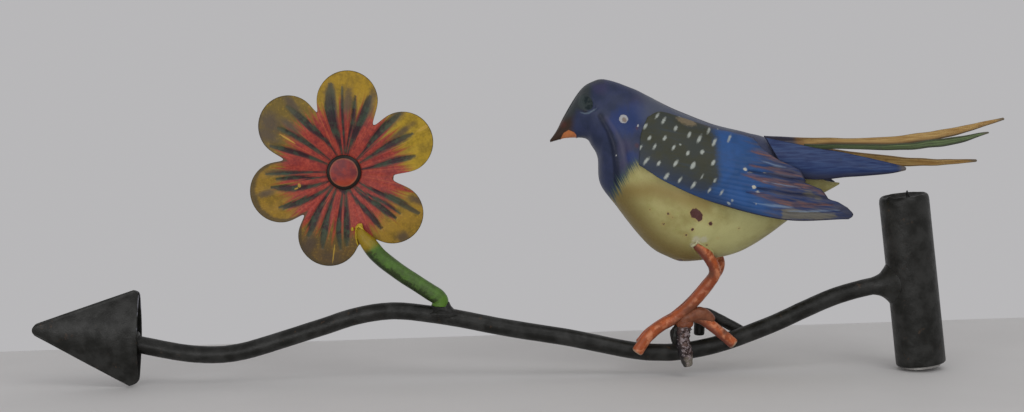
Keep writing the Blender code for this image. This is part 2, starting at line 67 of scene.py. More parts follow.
ARM_ROUTE = [
    (-409.9, 0, 64.1), (-399.2, 0, 60.6), (-384.0, 0, 55.5), (-373.2, 0, 52.3),
    (-362.1, 0, 50.2), (-350.8, 0, 49.6), (-336.1, 0, 51.2), (-303.8, 0, 57.2),
    (-287.5, 0, 60.4), (-272.4, 0, 61.4), (-259.4, 0, 59.9), (-236.8, 0, 53.9),
    (-208.9, 0, 44.8), (-177.8, 0, 35.7), (-149.3, 0, 26.1), (-133.2, 0, 22.5),
    (-119.1, 0, 21.7), (-100.8, 0, 23.4), (-75.2, 0, 29.5), (-57.4, 0, 35.2), (-39.7, 0, 40.3),
    (-22.3, 0, 42.9), (-13.1, 0, 43.0),
]
STEM_ROUTE = [
    (-277.6, -1.2, 105.0, 0.4), (-276.6, -1.9, 101.6, 0.7), (-273.7, -2, 96.6, 1),
    (-269.4, -1.2, 89.8, 1), (-260.9, -0.3, 81.0, 1), (-252.4, 0, 73.6, 1),
    (-246.9, 0, 68.9, 1), (-243.2, 0, 65.8, 1), (-241.8, 0, 63.3, 1), (-242.2, 0, 60.6, 1),
]
BIRD_SECTIONS = [
    ((-175.9, 138.1), (-175.9, 137.0), 0.7), ((-172.1, 142.5), (-172.9, 137.4), 2.7),
    ((-167.4, 149.2), (-167.6, 138.0), 5.4), ((-157.8, 160.9), (-158.1, 136.7), 11.5),
    ((-151.2, 164.7), (-155.2, 132.5), 14.2), ((-144.0, 165.1), (-152.9, 126.0), 15.6),
    ((-130.4, 158.6), (-153.1, 112.8), 18.2), ((-114.3, 147.6), (-146.1, 99.9), 23.5),
    ((-95.1, 137.0), (-133.9, 80.4), 27.5), ((-85.3, 132.9), (-125.1, 72.6), 28),
    ((-76.4, 129.6), (-113.2, 68.0), 27), ((-64.0, 123.8), (-86.4, 69.9), 21),
    ((-48.0, 107.0), (-60.4, 82.6), 11.5), ((-39.6, 100.4), (-48.2, 90.8), 6),
    ((-31.9, 98.1), (-32.4, 97.2), 0.8),
]
WING_CAGE = [
    [(-126.9, 143.4, 15), (-118.3, 145.3, 13), (-100.5, 136.7, 12), (-84.0, 130.6, 11), (-74.5, 127.6, 12)],
    [(-131.0, 136.4, 20), (-113.2, 131.1, 22), (-95.3, 124.8, 22), (-79.5, 119.8, 21), (-66.2, 117.0, 19)],
    [(-132.5, 129.5, 22), (-116.3, 121.6, 26), (-97.4, 114.7, 27), (-75.5, 108.4, 25), (-52.8, 105.4, 20.5)],
    [(-133.2, 125.0, 22), (-119.0, 114.6, 28), (-99.6, 106.2, 29), (-72.6, 97.8, 27), (-41.2, 93.8, 21)],
    [(-133.6, 122.0, 22), (-122.0, 112.4, 28), (-99.5, 99.3, 30), (-65.5, 86.2, 28), (-32.4, 81.8, 22)],
]
# The near blade and the upper streamer start further forward here than in the part.
BLADE_NEAR_CAGE = [
    [(-68.5, 126.6, 10), (-47.0, 119.6, 11), (-25.0, 112.4, 10), (-8.0, 106.3, 10), (0.3, 103.0, 10)],
    [(-64.8, 117.2, 15), (-46.5, 111.3, 14), (-25.5, 107.0, 13), (-8.5, 103.6, 12), (0.6, 102.2, 11)],
    [(-59.5, 105.7, 15), (-45.0, 102.8, 15), (-25.5, 101.6, 14), (-9.0, 100.9, 12), (0.0, 101.4, 11)],
]
BLADE_FAR_CAGE = [
    [(-50.0, 119.0, 4), (-32.0, 114.7, 5), (-7.3, 108.7, 6), (15.0, 103.9, 6), (40.2, 100.5, 6)],
    [(-50.0, 113.0, 7), (-32.0, 109.3, 8), (-7.9, 105.9, 8), (15.0, 101.9, 7), (40.7, 99.9, 6.5)],
    [(-50.0, 107.0, 9), (-32.0, 104.1, 9), (-8.5, 103.0, 9), (15.0, 100.2, 8), (40.2, 99.3, 7)],
]
STREAMER_UPPER_CAGE = [
    [(-66.0, 125.6, 12.5), (-27.7, 119.6, 13), (-0.3, 117.2, 12), (27.5, 117.7, 11), (57.0, 119.7, 10)],
    [(-66.0, 122.8, 12.5), (-27.8, 118.2, 12), (-0.3, 115.2, 10), (27.5, 115.6, 9), (57.4, 119.3, 9)],
    [(-66.0, 119.4, 12), (-27.8, 116.7, 10), (-0.3, 113.3, 8), (27.4, 113.7, 8), (57.2, 118.8, 9)],
]
STREAMER_UNDER_CAGE = [
    [(-48.0, 120.3, 2), (-28.9, 117.7, 2), (-1.7, 114.6, 3), (24.8, 114.4, 3), (45.2, 115.0, 4)],
    [(-48.0, 118.8, 1), (-28.9, 116.4, 1), (-1.7, 113.0, 2), (24.8, 112.4, 2), (45.7, 114.6, 4)],
    [(-48.0, 117.3, 0), (-28.9, 115.2, 0), (-1.7, 111.4, 1), (24.8, 110.4, 2), (45.5, 114.1, 4)],
]
LEG_LEFT_ROUTE = [
    (-110.6, -19.4, 80.0), (-107.3, -17.8, 75.6), (-104.4, -15.9, 71.2), (-102.0, -14, 66.0),
    (-101.6, -12.8, 61.9), (-103.9, -11.6, 57.7), (-110.0, -10, 51.3), (-117.6, -8.8, 44.4),
    (-125.0, -7.6, 40.0), (-132.1, -7.6, 37.1), (-139.2, -8, 32.3), (-145.4, -8, 25.3),
]
LEG_RIGHT_ROUTE = [
    (-104.9, 17.5, 80.9), (-102.2, 16.6, 76.3), (-99.4, 15.7, 71.6), (-96.9, 14, 66.5),
    (-96.4, 12.8, 61.7), (-99.6, 11.6, 57.0), (-107.4, 10, 49.7), (-115.7, 8.8, 43.0),
    (-123.4, 7.8, 38.3), (-130.5, 7.8, 35.2), (-137.4, 8, 31.1), (-142.5, 8, 26.3),
]
TOE_LEFT_HIND_ROUTE = [
    (-114.3, -7.8, 40.1), (-110.9, -7.4, 38.5), (-107.5, -7.4, 35.8), (-103.7, -7.5, 32.2),
    (-99.7, -7.7, 28.0), (-95.3, -7.7, 23.1),
]
TOE_LEFT_FRONT_ROUTE = [
    (-119.3, -7.9, 35.8), (-120.7, -8.2, 32.2), (-121.2, -8.6, 27.1), (-120.6, -8.5, 21.4),
    (-120.0, -8.5, 15.1),
]
TOE_RIGHT_HIND_ROUTE = [
    (-110.7, 6.8, 38.6), (-106.3, 6.8, 38.5), (-101.3, 7.2, 35.2), (-95.8, 7.7, 31.4),
    (-91.2, 7.8, 28.1), (-87.0, 7.7, 24.8),
]
TOE_RIGHT_FRONT_ROUTE = [
    (-110.3, 7.8, 34.6), (-110.8, 8.1, 31.2), (-111.3, 8.1, 27.4),
]

# ---- sizes and routes of the looks alone, in millimetres --------------------
PLATE_THICKNESS, PETAL_THICKNESS, WING_THICKNESS, FEATHER_THICKNESS = 0.9, 1.0, 0.95, 0.85
BODY_WALL = 1.4
SHEET_GAP = 0.75                              # from the body's skin to a wing's middle
FLOWER_COLUMNS = 540
STROKE_START = 9.3                            # radius at which the petals' strokes begin
FAR_FROM_END = 30.0                           # for paint that wears off at a bar's ends
# the ways that a tube's fields "under" and "facing" are measured in: the side given painted shade and the
# side given painted highlights
TUBE_SHADED_SIDE, TUBE_LIT_SIDE = (-0.66, 0.0, -0.75), (0.5, -0.86, 0.1)
CAP_NIB = [(2.4, 0.6, 85.6, 1.5), (2.2, 0.3, 87.2, 1.1), (1.9, 0.0, 88.6, 0.75), (2.1, -0.1, 89.8, 0.45)]
BRAZE_ARCH = [                                # glossy rim of braze round the stem's tip
    (-280.0, 0.2, 102.4, 0.7), (-279.6, -0.4, 104.4, 0.9), (-278.9, -1.2, 106.0, 1), (-277.8, -1.6, 106.6, 1),
    (-276.7, -1.8, 105.6, 1), (-275.7, -2.4, 103.8, 0.8), (-274.4, -3.0, 101.8, 0.6),
    (-272.4, -3.6, 99.6, 0.4),
]
BRAZE_DRIBBLE = [
    (-279.2, 0.3, 106.0, 0.6), (-280.0, 0.7, 103.0, 1), (-280.1, 1.0, 99.6, 0.9), (-279.8, 1.2, 96.6, 0.6),
]
BRAZE_DROP = [(-281.3, 1.0, 106.4, 0.5), (-281.5, 1.0, 105.2, 1), (-281.4, 1.0, 104.4, 0.8)]
TOE_WEB = [                                   # weld between the leg and its hind toe
    (-121.5, -8.0, 38.4, 0.7), (-117.0, -8.2, 40.2, 0.95), (-113.2, -8.0, 41.2, 1.05),
    (-109.8, -7.7, 40.6, 1.0), (-106.6, -7.3, 38.4, 0.8), (-104.8, -7.0, 36.2, 0.6),
]
# dark patches on the legs: (x, z, radius)
LEG_BRUISES = [(-113.5, 41.5, 8.0), (-120, 37, 5.5), (-104.6, 61.8, 2.6), (-99.5, 30.5, 2.0)]

# ---- marks painted on the bird, (x, z) --------------------------------------
# All of them are laid on both sides alike.
BELLY_OUTLINE = [
    (-156, 96), (-147.5, 106), (-143.5, 113), (-139.6, 118.4), (-134.9, 122.6), (-128, 121),
    (-95, 112), (-70, 108), (-50, 104.5), (-30, 100.5), (-28, 60), (-150, 60),
]
FACE_OUTLINE = [
    (-178, 135), (-176, 140), (-170, 150), (-160, 162), (-149, 167), (-146, 164.5), (-151.7, 163.9),
    (-152.7, 158.9), (-153.7, 154.3), (-156.5, 151.1), (-160.7, 152.5), (-163.2, 148), (-164.5, 143.5),
    (-163.2, 136.5), (-168, 138.3), (-172, 136),
]
ORANGE_OUTLINE = [
    (-170.8, 138.2), (-168.8, 141.3), (-166.1, 142.6), (-163.6, 141.4), (-162.4, 139.8),
    (-162.4, 136.5), (-170, 136.5),
]
EYE = (-155.2, 155.1, 2.5, 3.6, 12)          # centre, half-widths, lean in degrees
EYE_RING = (-156.2, 155.2, 3.7, 4.0, 12)
EYELID = [(-160.1, 151.2), (-157.8, 150.2), (-155.5, 150.1), (-153, 151.2), (-150.5, 152.5)]
# the crease is painted darker as shade, and its ridge paler as a highlight
CREASE = [(-149.6, 148.0), (-146.4, 140.3), (-144.9, 133.5), (-144.7, 122.0), (-145.6, 113)]
CREASE_RIDGE = [(-147.1, 146.8), (-143.5, 139.9), (-140.8, 132.7), (-140.3, 124.0), (-141, 119)]
HEAD_CHIP = (-138.5, 145.3, 2.3, 2.2, 0)
HEAD_CHIP_CORE = (-138.2, 144.8, 1.5, 1.5, 0)
BRIGHT_SPOTS = [(-138, 144, 9), (-131, 147, 7), (-144, 143, 5), (-137, 126, 4)]
# paler patches on the lower belly: partly paler paint, partly painted light from below
BELLY_PALE_AND_LIT_SPOTS = [(-84, 87, 13), (-94, 79, 13), (-106, 84, 8)]
PURPLE_SPOTS = [(-138, 122, 7), (-140, 131, 5), (-148, 163, 5), (-128, 152, 6), (-120, 147, 6)]
HEAD_SPECKS = [(-131.9, 141.3, 0.9), (-144.2, 127.7, 0.6), (-141.5, 159, 0.4)]
RUSTY_SPOTS = [(-133.7, 131.6, 1.5), (-168.7, 145.6, 2.2), (-132.5, 140.1, 1.0)]
# painted shade: a brown band that darkens the belly towards its front lower edge
BELLY_SHADE_LINE = [(-146, 104), (-142, 95), (-136, 85), (-127, 76), (-115, 70)]
LEG_ROOT_SMEAR = [(-109.8, 81.0, 2.6), (-106.0, 80.6, 2.2), (-111.8, 78.4, 1.6)]
BELLY_WARM = [(-140, 109), (-128, 109), (-112, 103), (-104, 99.5)]
BELLY_CHIP = [
    (-112.2, 95.4), (-110.8, 97.5), (-108.6, 97.7), (-106.6, 96.0), (-105.4, 93.4), (-106.2, 91.0),
    (-108.0, 90.2), (-109.4, 92.0), (-111.2, 92.8),
]
BELLY_SPECKS = [
    (-102.2, 88.7, 1.2), (-125.4, 91.1, 0.8), (-122.3, 96.2, 0.9), (-111.3, 86.8, 1.0),
    (-114.8, 84.3, 0.7), (-104.6, 77.4, 0.7), (-120.8, 94.3, 0.5), (-118, 69.4, 1.6),
    (-131, 99, 0.5), (-95, 96, 0.5), (-88, 84, 0.6), (-99, 80.5, 0.5), (-80, 92, 0.4),
]
OLIVE_OUTLINE = [
    (-140, 136), (-134, 146), (-122, 152), (-108, 146), (-95, 139), (-93.5, 128),
    (-94.5, 116), (-96, 108), (-104, 104), (-116, 109), (-126, 115), (-138, 118),
]
WING_DOTS = [
    (-128.4, 139.5, 1.2, 1.6), (-122.1, 143.5, 0.9, 2.0), (-119.3, 140.9, 1.0, 2.3),
    (-113.8, 136.7, 1.1, 1.6), (-107.5, 132.9, 1.2, 1.8), (-102.7, 130.4, 1.2, 2.3),
    (-97.4, 132.9, 1.0, 1.9), (-95.5, 127.6, 1.2, 2.2), (-92.0, 133.6, 1.0, 1.1),
    (-89.6, 133.4, 1.0, 1.0), (-87.6, 127.8, 0.9, 2.1), (-127.1, 134.1, 1.1, 1.6),
    (-119.8, 133.1, 1.1, 1.7), (-125.2, 129.8, 0.9, 1.8), (-132.2, 130.1, 0.9, 2.0),
    (-116.0, 128.3, 0.9, 1.9), (-112.6, 129.3, 0.8, 0.5), (-109.4, 124.8, 1.2, 1.5),
    (-102.2, 124.3, 1.3, 1.5), (-129.8, 123.7, 1.0, 2.5), (-124.3, 121.6, 1.1, 1.7),
    (-115.9, 120.8, 1.2, 2.2), (-107.7, 118.6, 1.5, 2.3), (-97.6, 118.5, 1.2, 2.0),
    (-121.2, 115.2, 1.2, 2.2), (-115.0, 112.6, 1.0, 1.9), (-108.8, 109.2, 1.1, 2.4),
    (-103.9, 112.9, 0.5, 1.7), (-97.9, 110.1, 0.8, 1.4), (-101.3, 105.7, 0.8, 1.6),
    (-95.4, 103.7, 0.8, 1.9), (-92.5, 98.2, 1.3, 0.6), (-90.6, 99.2, 0.8, 0.8),
    (-110.8, 142.3, 1.5, 0.7), (-134.6, 136.5, 0.6, 1.3),
]
DOT_LEAN = -42                                # degrees from upright
DOT_WIDTH, DOT_LENGTH = 0.68, 0.80            # shares of the sizes above
TAN_WORN = [(-112.5, 141.2), (-109, 139.6), (-106, 138.1), (-103.5, 136.6)]
BROWN_FLUTES = [                              # a route down a feather, and half its width
    ([(-77.2, 121.4), (-68.9, 117.9), (-59.5, 112.9)], 0.9),
    ([(-79.5, 115.2), (-66.6, 110.8), (-54.0, 106.2)], 0.9),
    ([(-84.5, 111.6), (-78.4, 108.8), (-64.5, 103.7), (-49.9, 100.0), (-42.5, 95.3)], 1.35),
    ([(-83.0, 102.2), (-73.8, 99.0), (-64.0, 94.1), (-53.6, 91.4), (-40.0, 90.0)], 1.5),
]
# painted highlights: pale lines along the ridges beside the brown flutes
HIGHLIGHT_FLUTES = [
    ([(-73.5, 116.2), (-67, 113.4), (-60.8, 111.2)], 0.4),
    ([(-74, 106.4), (-62, 102.2), (-55, 100.4)], 0.35),
    ([(-80.4, 96.9), (-71, 93.9), (-60.0, 91.3)], 0.75),
    ([(-64, 90.2), (-50, 88.2), (-37, 86.9)], 0.4),
]
WING_GLINTS = [
    (-82.0, 113.4, 1.3, 1.0), (-79.6, 111.5, 1.7, 0.5), (-78.9, 104.2, 1.1, 1.2),
    (-77.4, 101.9, 1.4, 0.6), (-78.9, 96.1, 0.7, 0.9), (-72.5, 110.6, 1.6, 0.5),
]
WORN_FEATHER = [
    (-66.5, 91.6), (-57, 89.8), (-48, 88.0), (-40, 85.6), (-38, 83.0), (-50, 83.8), (-67, 86.6),
]
WORN_SPOTS = [(-51.2, 96.6, 3.0, 1.6), (-47.2, 94.4, 2.2, 1.3)]
REAR_EDGE = [                                 # up the wing's rear edge, which has three lobes
    (-34.5, 81.2), (-30.8, 82.8), (-30.2, 84.0), (-30.9, 85.2), (-32.7, 87.5), (-36.7, 90.6),
    (-40.9, 92.7), (-41.8, 93.4), (-43.0, 95.9), (-44.8, 98.4), (-48.3, 100.3), (-52.3, 102.6),
    (-51.9, 103.4), (-53.8, 108.7), (-57.5, 111.5), (-62.9, 114.7), (-67.8, 118.5),
    (-71.1, 121.7), (-73.0, 125.1), (-74.8, 128.3),
]
LOBE_GROOVES = [                              # forward from the notches between the lobes
    [(-51.0, 102.8), (-60.0, 105.6), (-70.0, 109.0), (-80.0, 112.0)],
    [(-40.0, 92.9), (-52.0, 96.2), (-64.0, 99.2), (-77.0, 103.2)],
]

# Brush strokes on each petal: their offsets in degrees from its middle near the
# hub, half-way and at the end, the radius of the end, and half the width.
PETAL_STROKES = [
    [(9, 15, 11, 46, 2.5), (0, 4, 4, 44, 0.75), (-3, -7, -6, 40, 0.8), (-9, -15, -16, 42, 1.9)],
    [(-28, -15, -9, 45, 1.7), (-1, 1.5, 6, 41, 1.1), (14, 17, 20.5, 40, 1.2)],
    [(13, 2, -5.6, 38, 1.4), (29, 19, 11, 38, 1.4), (-2, -10.6, -11.4, 35, 0.9), (-18, -17, -16, 40, 0.7)],
    [(-25, -20, -15.5, 38, 1.7), (-12, -6.7, -2.4, 41, 1.6), (10, 7.6, 11, 40, 1.2), (18, 17, 15.6, 38, 1.4)],
    [(5, 12, 11, 44, 1.5), (-17.6, -4.8, -1.4, 36, 1.4), (-33, -20, -16, 35, 1.3), (-12, 2, 4, 36, 0.7)],
    [(17, 21, 19, 42, 1.9), (3, 4, 2, 41, 1.5), (-18, -14, -14, 38, 1.3)],
]
PETAL_SMOKE = [                               # clouds: petal, offset, radius, half-length, half-width
    (0, 12.5, 36, 11, 3.4), (0, -1, 36, 9, 3.2), (0, -18, 37, 10, 3.4), (1, 6, 45, 7, 6.5),
    (1, 14, 43, 7, 4.5),
    (1, -12.7, 42.5, 8, 3.0), (1, -0.7, 36.4, 8, 2.6), (2, -17.6, 32, 9, 1.8), (2, -2, 41, 5, 2.0),
    (3, 4, 44, 5, 9), (3, -12, 41, 6, 4), (4, 19, 41, 7, 2.2), (4, -8, 45, 4, 4), (5, 20, 40, 8, 3.2),
    (5, 8, 36, 8, 2.0),
]
PETAL_GOLD = [                                # drops of yellow laid over the strokes
    (2, -0.8, 23.6, 0.9, 1.2), (2, 1.6, 25.6, 1.2, 0.5), (1, 9, 33, 5, 0.5), (3, 6, 42, 6, 0.4),
    (5, 2, 47, 5, 1.0),
]
RING_DRIP = [(-4.8, -7.6), (2.8, -8.2), (-1.0, -11.6)]    # under the flower's disc
PETAL_TIPS = [(146, 118, 46), (104, 88, 48), (136, 108, 52), (100, 82, 56), (142, 114, 56), (156, 130, 52)]

# ---- view and light, in metres -----------------------------------------------
AIM = Vector((-199.2137, 0.0, 107.0586 + RUNNING_GAP)) * MM
CAMERA_DISTANCE = 1.020
CAMERA_DROP = math.radians(6)
CAMERA_ROLL = math.radians(7.12285)
CAMERA_LENS = 70.3125                         # focal length in millimetres
PALE = 0.485
LIGHT_LEVEL = 0.72                            # light that a white surface would send back
SHEEN = 0.022                                 # light that even a black one sends back
PAINTS = {}                                   # the finished materials by slot


def tone(red, green, blue):
    """A paint's linear colour from how it looks, 0 to 255, in this scene's light."""
    look = np.array([red, green, blue]) / 255
    linear = np.where(look <= 0.04045, look / 12.92, ((look + 0.055) / 1.055) ** 2.4)
    return (*np.clip((linear - SHEEN) / LIGHT_LEVEL, 0.002, 0.9), 1.0)


# ---- curves and surfaces ----------------------------------------------------
def curve_at(points, places):
    """Catmull-Rom curve through points, or rows of points, read at places from 0 to 1."""
    p = np.asarray(points, float)
    p = np.concatenate([[2 * p[0] - p[1]], p, [2 * p[-1] - p[-2]]])
    spans = len(p) - 3
    position = np.asarray(places, float) * spans
    i = np.minimum(position.astype(int), spans - 1)
    t = (position - i).reshape((-1,) + (1,) * (p.ndim - 1))
    a, b, c, d = p[i], p[i + 1], p[i + 2], p[i + 3]
    return 0.5 * (2 * b + (c - a) * t + (2 * a - 5 * b + 4 * c - d) * t ** 2
                  + (3 * b - a - 3 * c + d) * t ** 3)


def cage_at(cage, down, along):
    """Points of the surface through a cage of rows."""
    lines = curve_at(np.swapaxes(np.array(cage, float), 0, 1), along)
    return curve_at(np.swapaxes(lines, 0, 1), down)


def edged_steps(count, length, edge=0.5):
    """0 to 1 in even steps, with closer ones at both ends for a rounded edge."""
    near = np.array([0.0, 0.12, 0.45, 1.0]) * edge / length
    return np.concatenate([near, np.linspace(near[-1], 1 - near[-1], count)[1:-1], 1 - near[::-1]])


def unit(vectors):
    length = np.linalg.norm(vectors, axis=-1, keepdims=True)
    return vectors / np.maximum(length, 1e-9)


def grid_normals(grid, wrap=False):
    if wrap:
        ringed = np.concatenate([grid[:, -1:], grid, grid[:, :1]], axis=1)
        across = np.gradient(ringed, axis=1)[:, 1:-1]
    else:
        across = np.gradient(grid, axis=1)
    return unit(np.cross(np.gradient(grid, axis=0), across))


def run_lengths(grid, axis):
    """Distance from the grid's first and last line, measured along an axis."""
    steps = np.linalg.norm(np.diff(grid, axis=axis), axis=-1)
    run = np.concatenate([np.zeros_like(np.take(steps, [0], axis)), np.cumsum(steps, axis)], axis)
    return run, np.take(run, [-1], axis) - run


def edge_distance(grid):
    return np.minimum.reduce([*run_lengths(grid, 0), *run_lengths(grid, 1)])


def grid_faces(index, wrap=False):
    if wrap:
        index = np.hstack([index, index[:, :1]])
    corners = (index[:-1, :-1], index[:-1, 1:], index[1:, 1:], index[1:, :-1])
    return np.stack(corners, -1).reshape(-1, 4).tolist()


def ring_faces(rows, sides, closed=False):
    """Faces of a stack of rings, closed into a ring itself or with a face at each end."""
    index = np.arange(rows * sides).reshape(rows, sides)
    if closed:
        return grid_faces(np.vstack([index, index[:1]]), wrap=True)
    return grid_faces(index, wrap=True) + [index[0].tolist(), index[-1].tolist()]


def ring_points(centres, size, side, up):
    """Rings about centres: their radii, and the two directions across each."""
    angle = 2 * math.pi * np.arange(size.shape[1]) / size.shape[1]
    around = np.cos(angle)[:, None] * side[:, None] + np.sin(angle)[:, None] * up[:, None]
    return centres[:, None] + size[..., None] * around


def turned_about_y(points, degrees):
    return points @ np.array(Matrix.Rotation(math.radians(degrees), 3, "Y")).T


def wobble(points, size, seed=0.0):
    """Smooth noise, about -1 to 1, with features of the given size in millimetres."""
    flat = np.asarray(points, float).reshape(-1, 3) / size + seed
    values = [noise.noise(Vector(p)) for p in flat]
    return np.array(values).reshape(np.shape(points)[:-1])


def shell(middle, thickness, wrap=False):
    """A sheet with rounded edges about a grid of middle points.

    Returns its points, its faces and the grid point that each vertex came from.
    """
    edge = run_lengths(middle, 0)[1] if wrap else edge_distance(middle)
    half = np.broadcast_to(thickness, edge.shape) / 2
    full = np.sqrt(1 - (1 - np.clip(edge / half, 0, 1)) ** 2)
    offset = grid_normals(middle, wrap) * (half * full)[..., None]
    front = np.arange(edge.size).reshape(edge.shape)
    inner = edge > 0
    back = front.copy()
    back[inner] = edge.size + np.arange(inner.sum())
    points = np.vstack([(middle + offset).reshape(-1, 3), (middle - offset)[inner]])
    faces = grid_faces(front, wrap) + grid_faces(back, wrap)
    if wrap:
        faces += [front[0].tolist(), back[0].tolist()]
    return points, faces, np.concatenate([front.ravel(), front[inner]])


def tube(route, radius, sides=36, spacing=0.9, rounding=0.8, swell=None):
    """A round bar along a route, whose fourth value thins it.

    swell(along, angle) gives a share to add to the radius.
    Returns points, faces and four fields: millimetres along, millimetres from
    the nearer end, and how far the surface looks down towards the arrowhead and
    out towards the near side.
    """
    route = np.array([(*p, 1.0)[:4] for p in route], float)
    rough = curve_at(route, np.linspace(0, 1, 400))
    length = np.linalg.norm(np.diff(rough[:, :3], axis=0), axis=1).sum()
    steps = edged_steps(max(int(length / spacing), 8), length, rounding)
    line = curve_at(route, steps)
    centres, factor = line[:, :3], line[:, 3]
    along = steps * length
    to_end = np.minimum(along, length - along)
    tangents = unit(np.gradient(centres, axis=0))
    side = unit(np.cross(tangents[0], (0, 1, 0.01)))
    ring_sides, ring_ups = [], []
    for tangent in tangents:
        side = unit(side - tangent * (side @ tangent))
        ring_sides.append(side)
        ring_ups.append(np.cross(tangent, side))
    angle = 2 * math.pi * np.arange(sides) / sides
    inset = rounding - np.sqrt(rounding ** 2 - np.clip(rounding - to_end, 0, rounding) ** 2)
    size = (radius * factor - inset)[:, None] * np.ones(sides)
    if swell:
        size *= 1 + swell(along[:, None], angle[None, :])
    points = ring_points(centres, size, np.array(ring_sides), np.array(ring_ups))
    outward = unit(points - centres[:, None])
    fields = {"along": np.repeat(along, sides), "end": np.repeat(to_end, sides),
              "under": outward @ TUBE_SHADED_SIDE, "facing": outward @ TUBE_LIT_SIDE}
    return points.reshape(-1, 3), ring_faces(len(line), sides), fields


def revolve(profile, sides, closed=False):
    """Grid of points and faces of a profile of (radius, height), turned about Z."""
    profile = np.array(profile, float)
    angle = 2 * math.pi * np.arange(sides) / sides
    r, h = profile[:, 0:1], profile[:, 1:2]
    grid = np.stack([r * np.cos(angle), r * np.sin(angle), h * np.ones(sides)], -1)
    return grid, ring_faces(len(profile), sides, closed)


def bead(path, radius, seed):
    """A closed, lumpy bead of weld or solder along a ring of points."""
    path = np.array(path, float)
    tangents = unit(np.roll(path, -1, 0) - np.roll(path, 1, 0))
    outward = unit(path - path.mean(0))
    outward = unit(outward - tangents * (outward * tangents).sum(1, keepdims=True))
    size = radius * (1 + 0.3 * wobble(path, 2.2 * radius, seed))[:, None] * np.ones(14)
    points = ring_points(path, size, outward, np.cross(tangents, outward))
    return points.reshape(-1, 3), ring_faces(*size.shape, closed=True)


def lump(centre, size, lean, seed):
    """A rounded, uneven blob: centre, three half-sizes, a turn about Y in degrees."""
    rows, cols = 40, 56
    polar = np.linspace(0.04, math.pi - 0.04, rows)[:, None]
    around = 2 * math.pi * np.arange(cols)[None, :] / cols
    ball = np.stack([np.sin(polar) * np.cos(around), np.sin(polar) * np.sin(around),
                     np.cos(polar) * np.ones_like(around)], -1)
    ball *= (1 + 0.22 * wobble(ball, 0.8, seed) + 0.08 * wobble(ball, 0.3, seed))[..., None]
    return (turned_about_y(ball * size, lean) + centre).reshape(-1, 3), ring_faces(rows, cols)


# ---- fields: how far inside a painted mark a point is -----------------------
def near_line(x, z, line):
    """Distance to a line of (x, z) points, and the place of the nearest point on it."""
    best, place = np.full(x.shape, 1e9), np.zeros(x.shape)
    for i, ((ax, az), (bx, bz)) in enumerate(zip(line, line[1:])):
        dx, dz = bx - ax, bz - az
        t = np.clip(((x - ax) * dx + (z - az) * dz) / (dx * dx + dz * dz), 0, 1)
        gap = np.hypot(x - ax - t * dx, z - az - t * dz)
        closer = gap < best
        best, place = np.where(closer, gap, best), np.where(closer, i + t, place)
    return best, place / (len(line) - 1)


def in_stroke(x, z, line, half_width):
    """Millimetres inside a brush stroke that is widest half-way."""
    gap, place = near_line(x, z, line)
    return half_width * np.sin(math.pi * np.clip(place, 0.02, 0.98)) ** 0.6 - gap


def in_outline(x, z, outline):
    """Millimetres inside a closed outline, negative outside."""
    inside = np.zeros(x.shape, bool)
    for (ax, az), (bx, bz) in zip(outline, [*outline[1:], outline[0]]):
        crosses = (az > z) != (bz > z)
        inside ^= crosses & (x < (bx - ax) * (z - az) / ((bz - az) or 1e-9) + ax)
    gap = near_line(x, z, [*outline, outline[0]])[0]
    return np.where(inside, gap, -gap)


def in_oval(x, z, oval):
    """Millimetres inside an oval: centre, half-widths, lean in degrees."""
    cx, cz, wide, tall, lean = oval
    c, s = math.cos(math.radians(lean)), math.sin(math.radians(lean))
    u, v = c * (x - cx) + s * (z - cz), -s * (x - cx) + c * (z - cz)
    return (1 - np.hypot(u / wide, v / tall)) * min(wide, tall)


def most(values):
    return np.maximum.reduce(list(values))


def in_ovals(x, z, rows, lean, wide=1.0, tall=1.0):
    """Millimetres inside the nearest of several ovals: centre and half-widths, or a radius."""
    return most(in_oval(x, z, (row[0], row[1], wide * row[2], tall * row[-1], lean)) for row in rows)


def in_strokes(x, z, rows):
    return most(in_stroke(x, z, line, half_width) for line, half_width in rows)


def glow(x, z, spots):
    """0 to 1, high near any of the spots of (x, z, radius)."""
    return most(np.exp(-((x - cx) ** 2 + (z - cz) ** 2) / r ** 2) for cx, cz, r in spots)


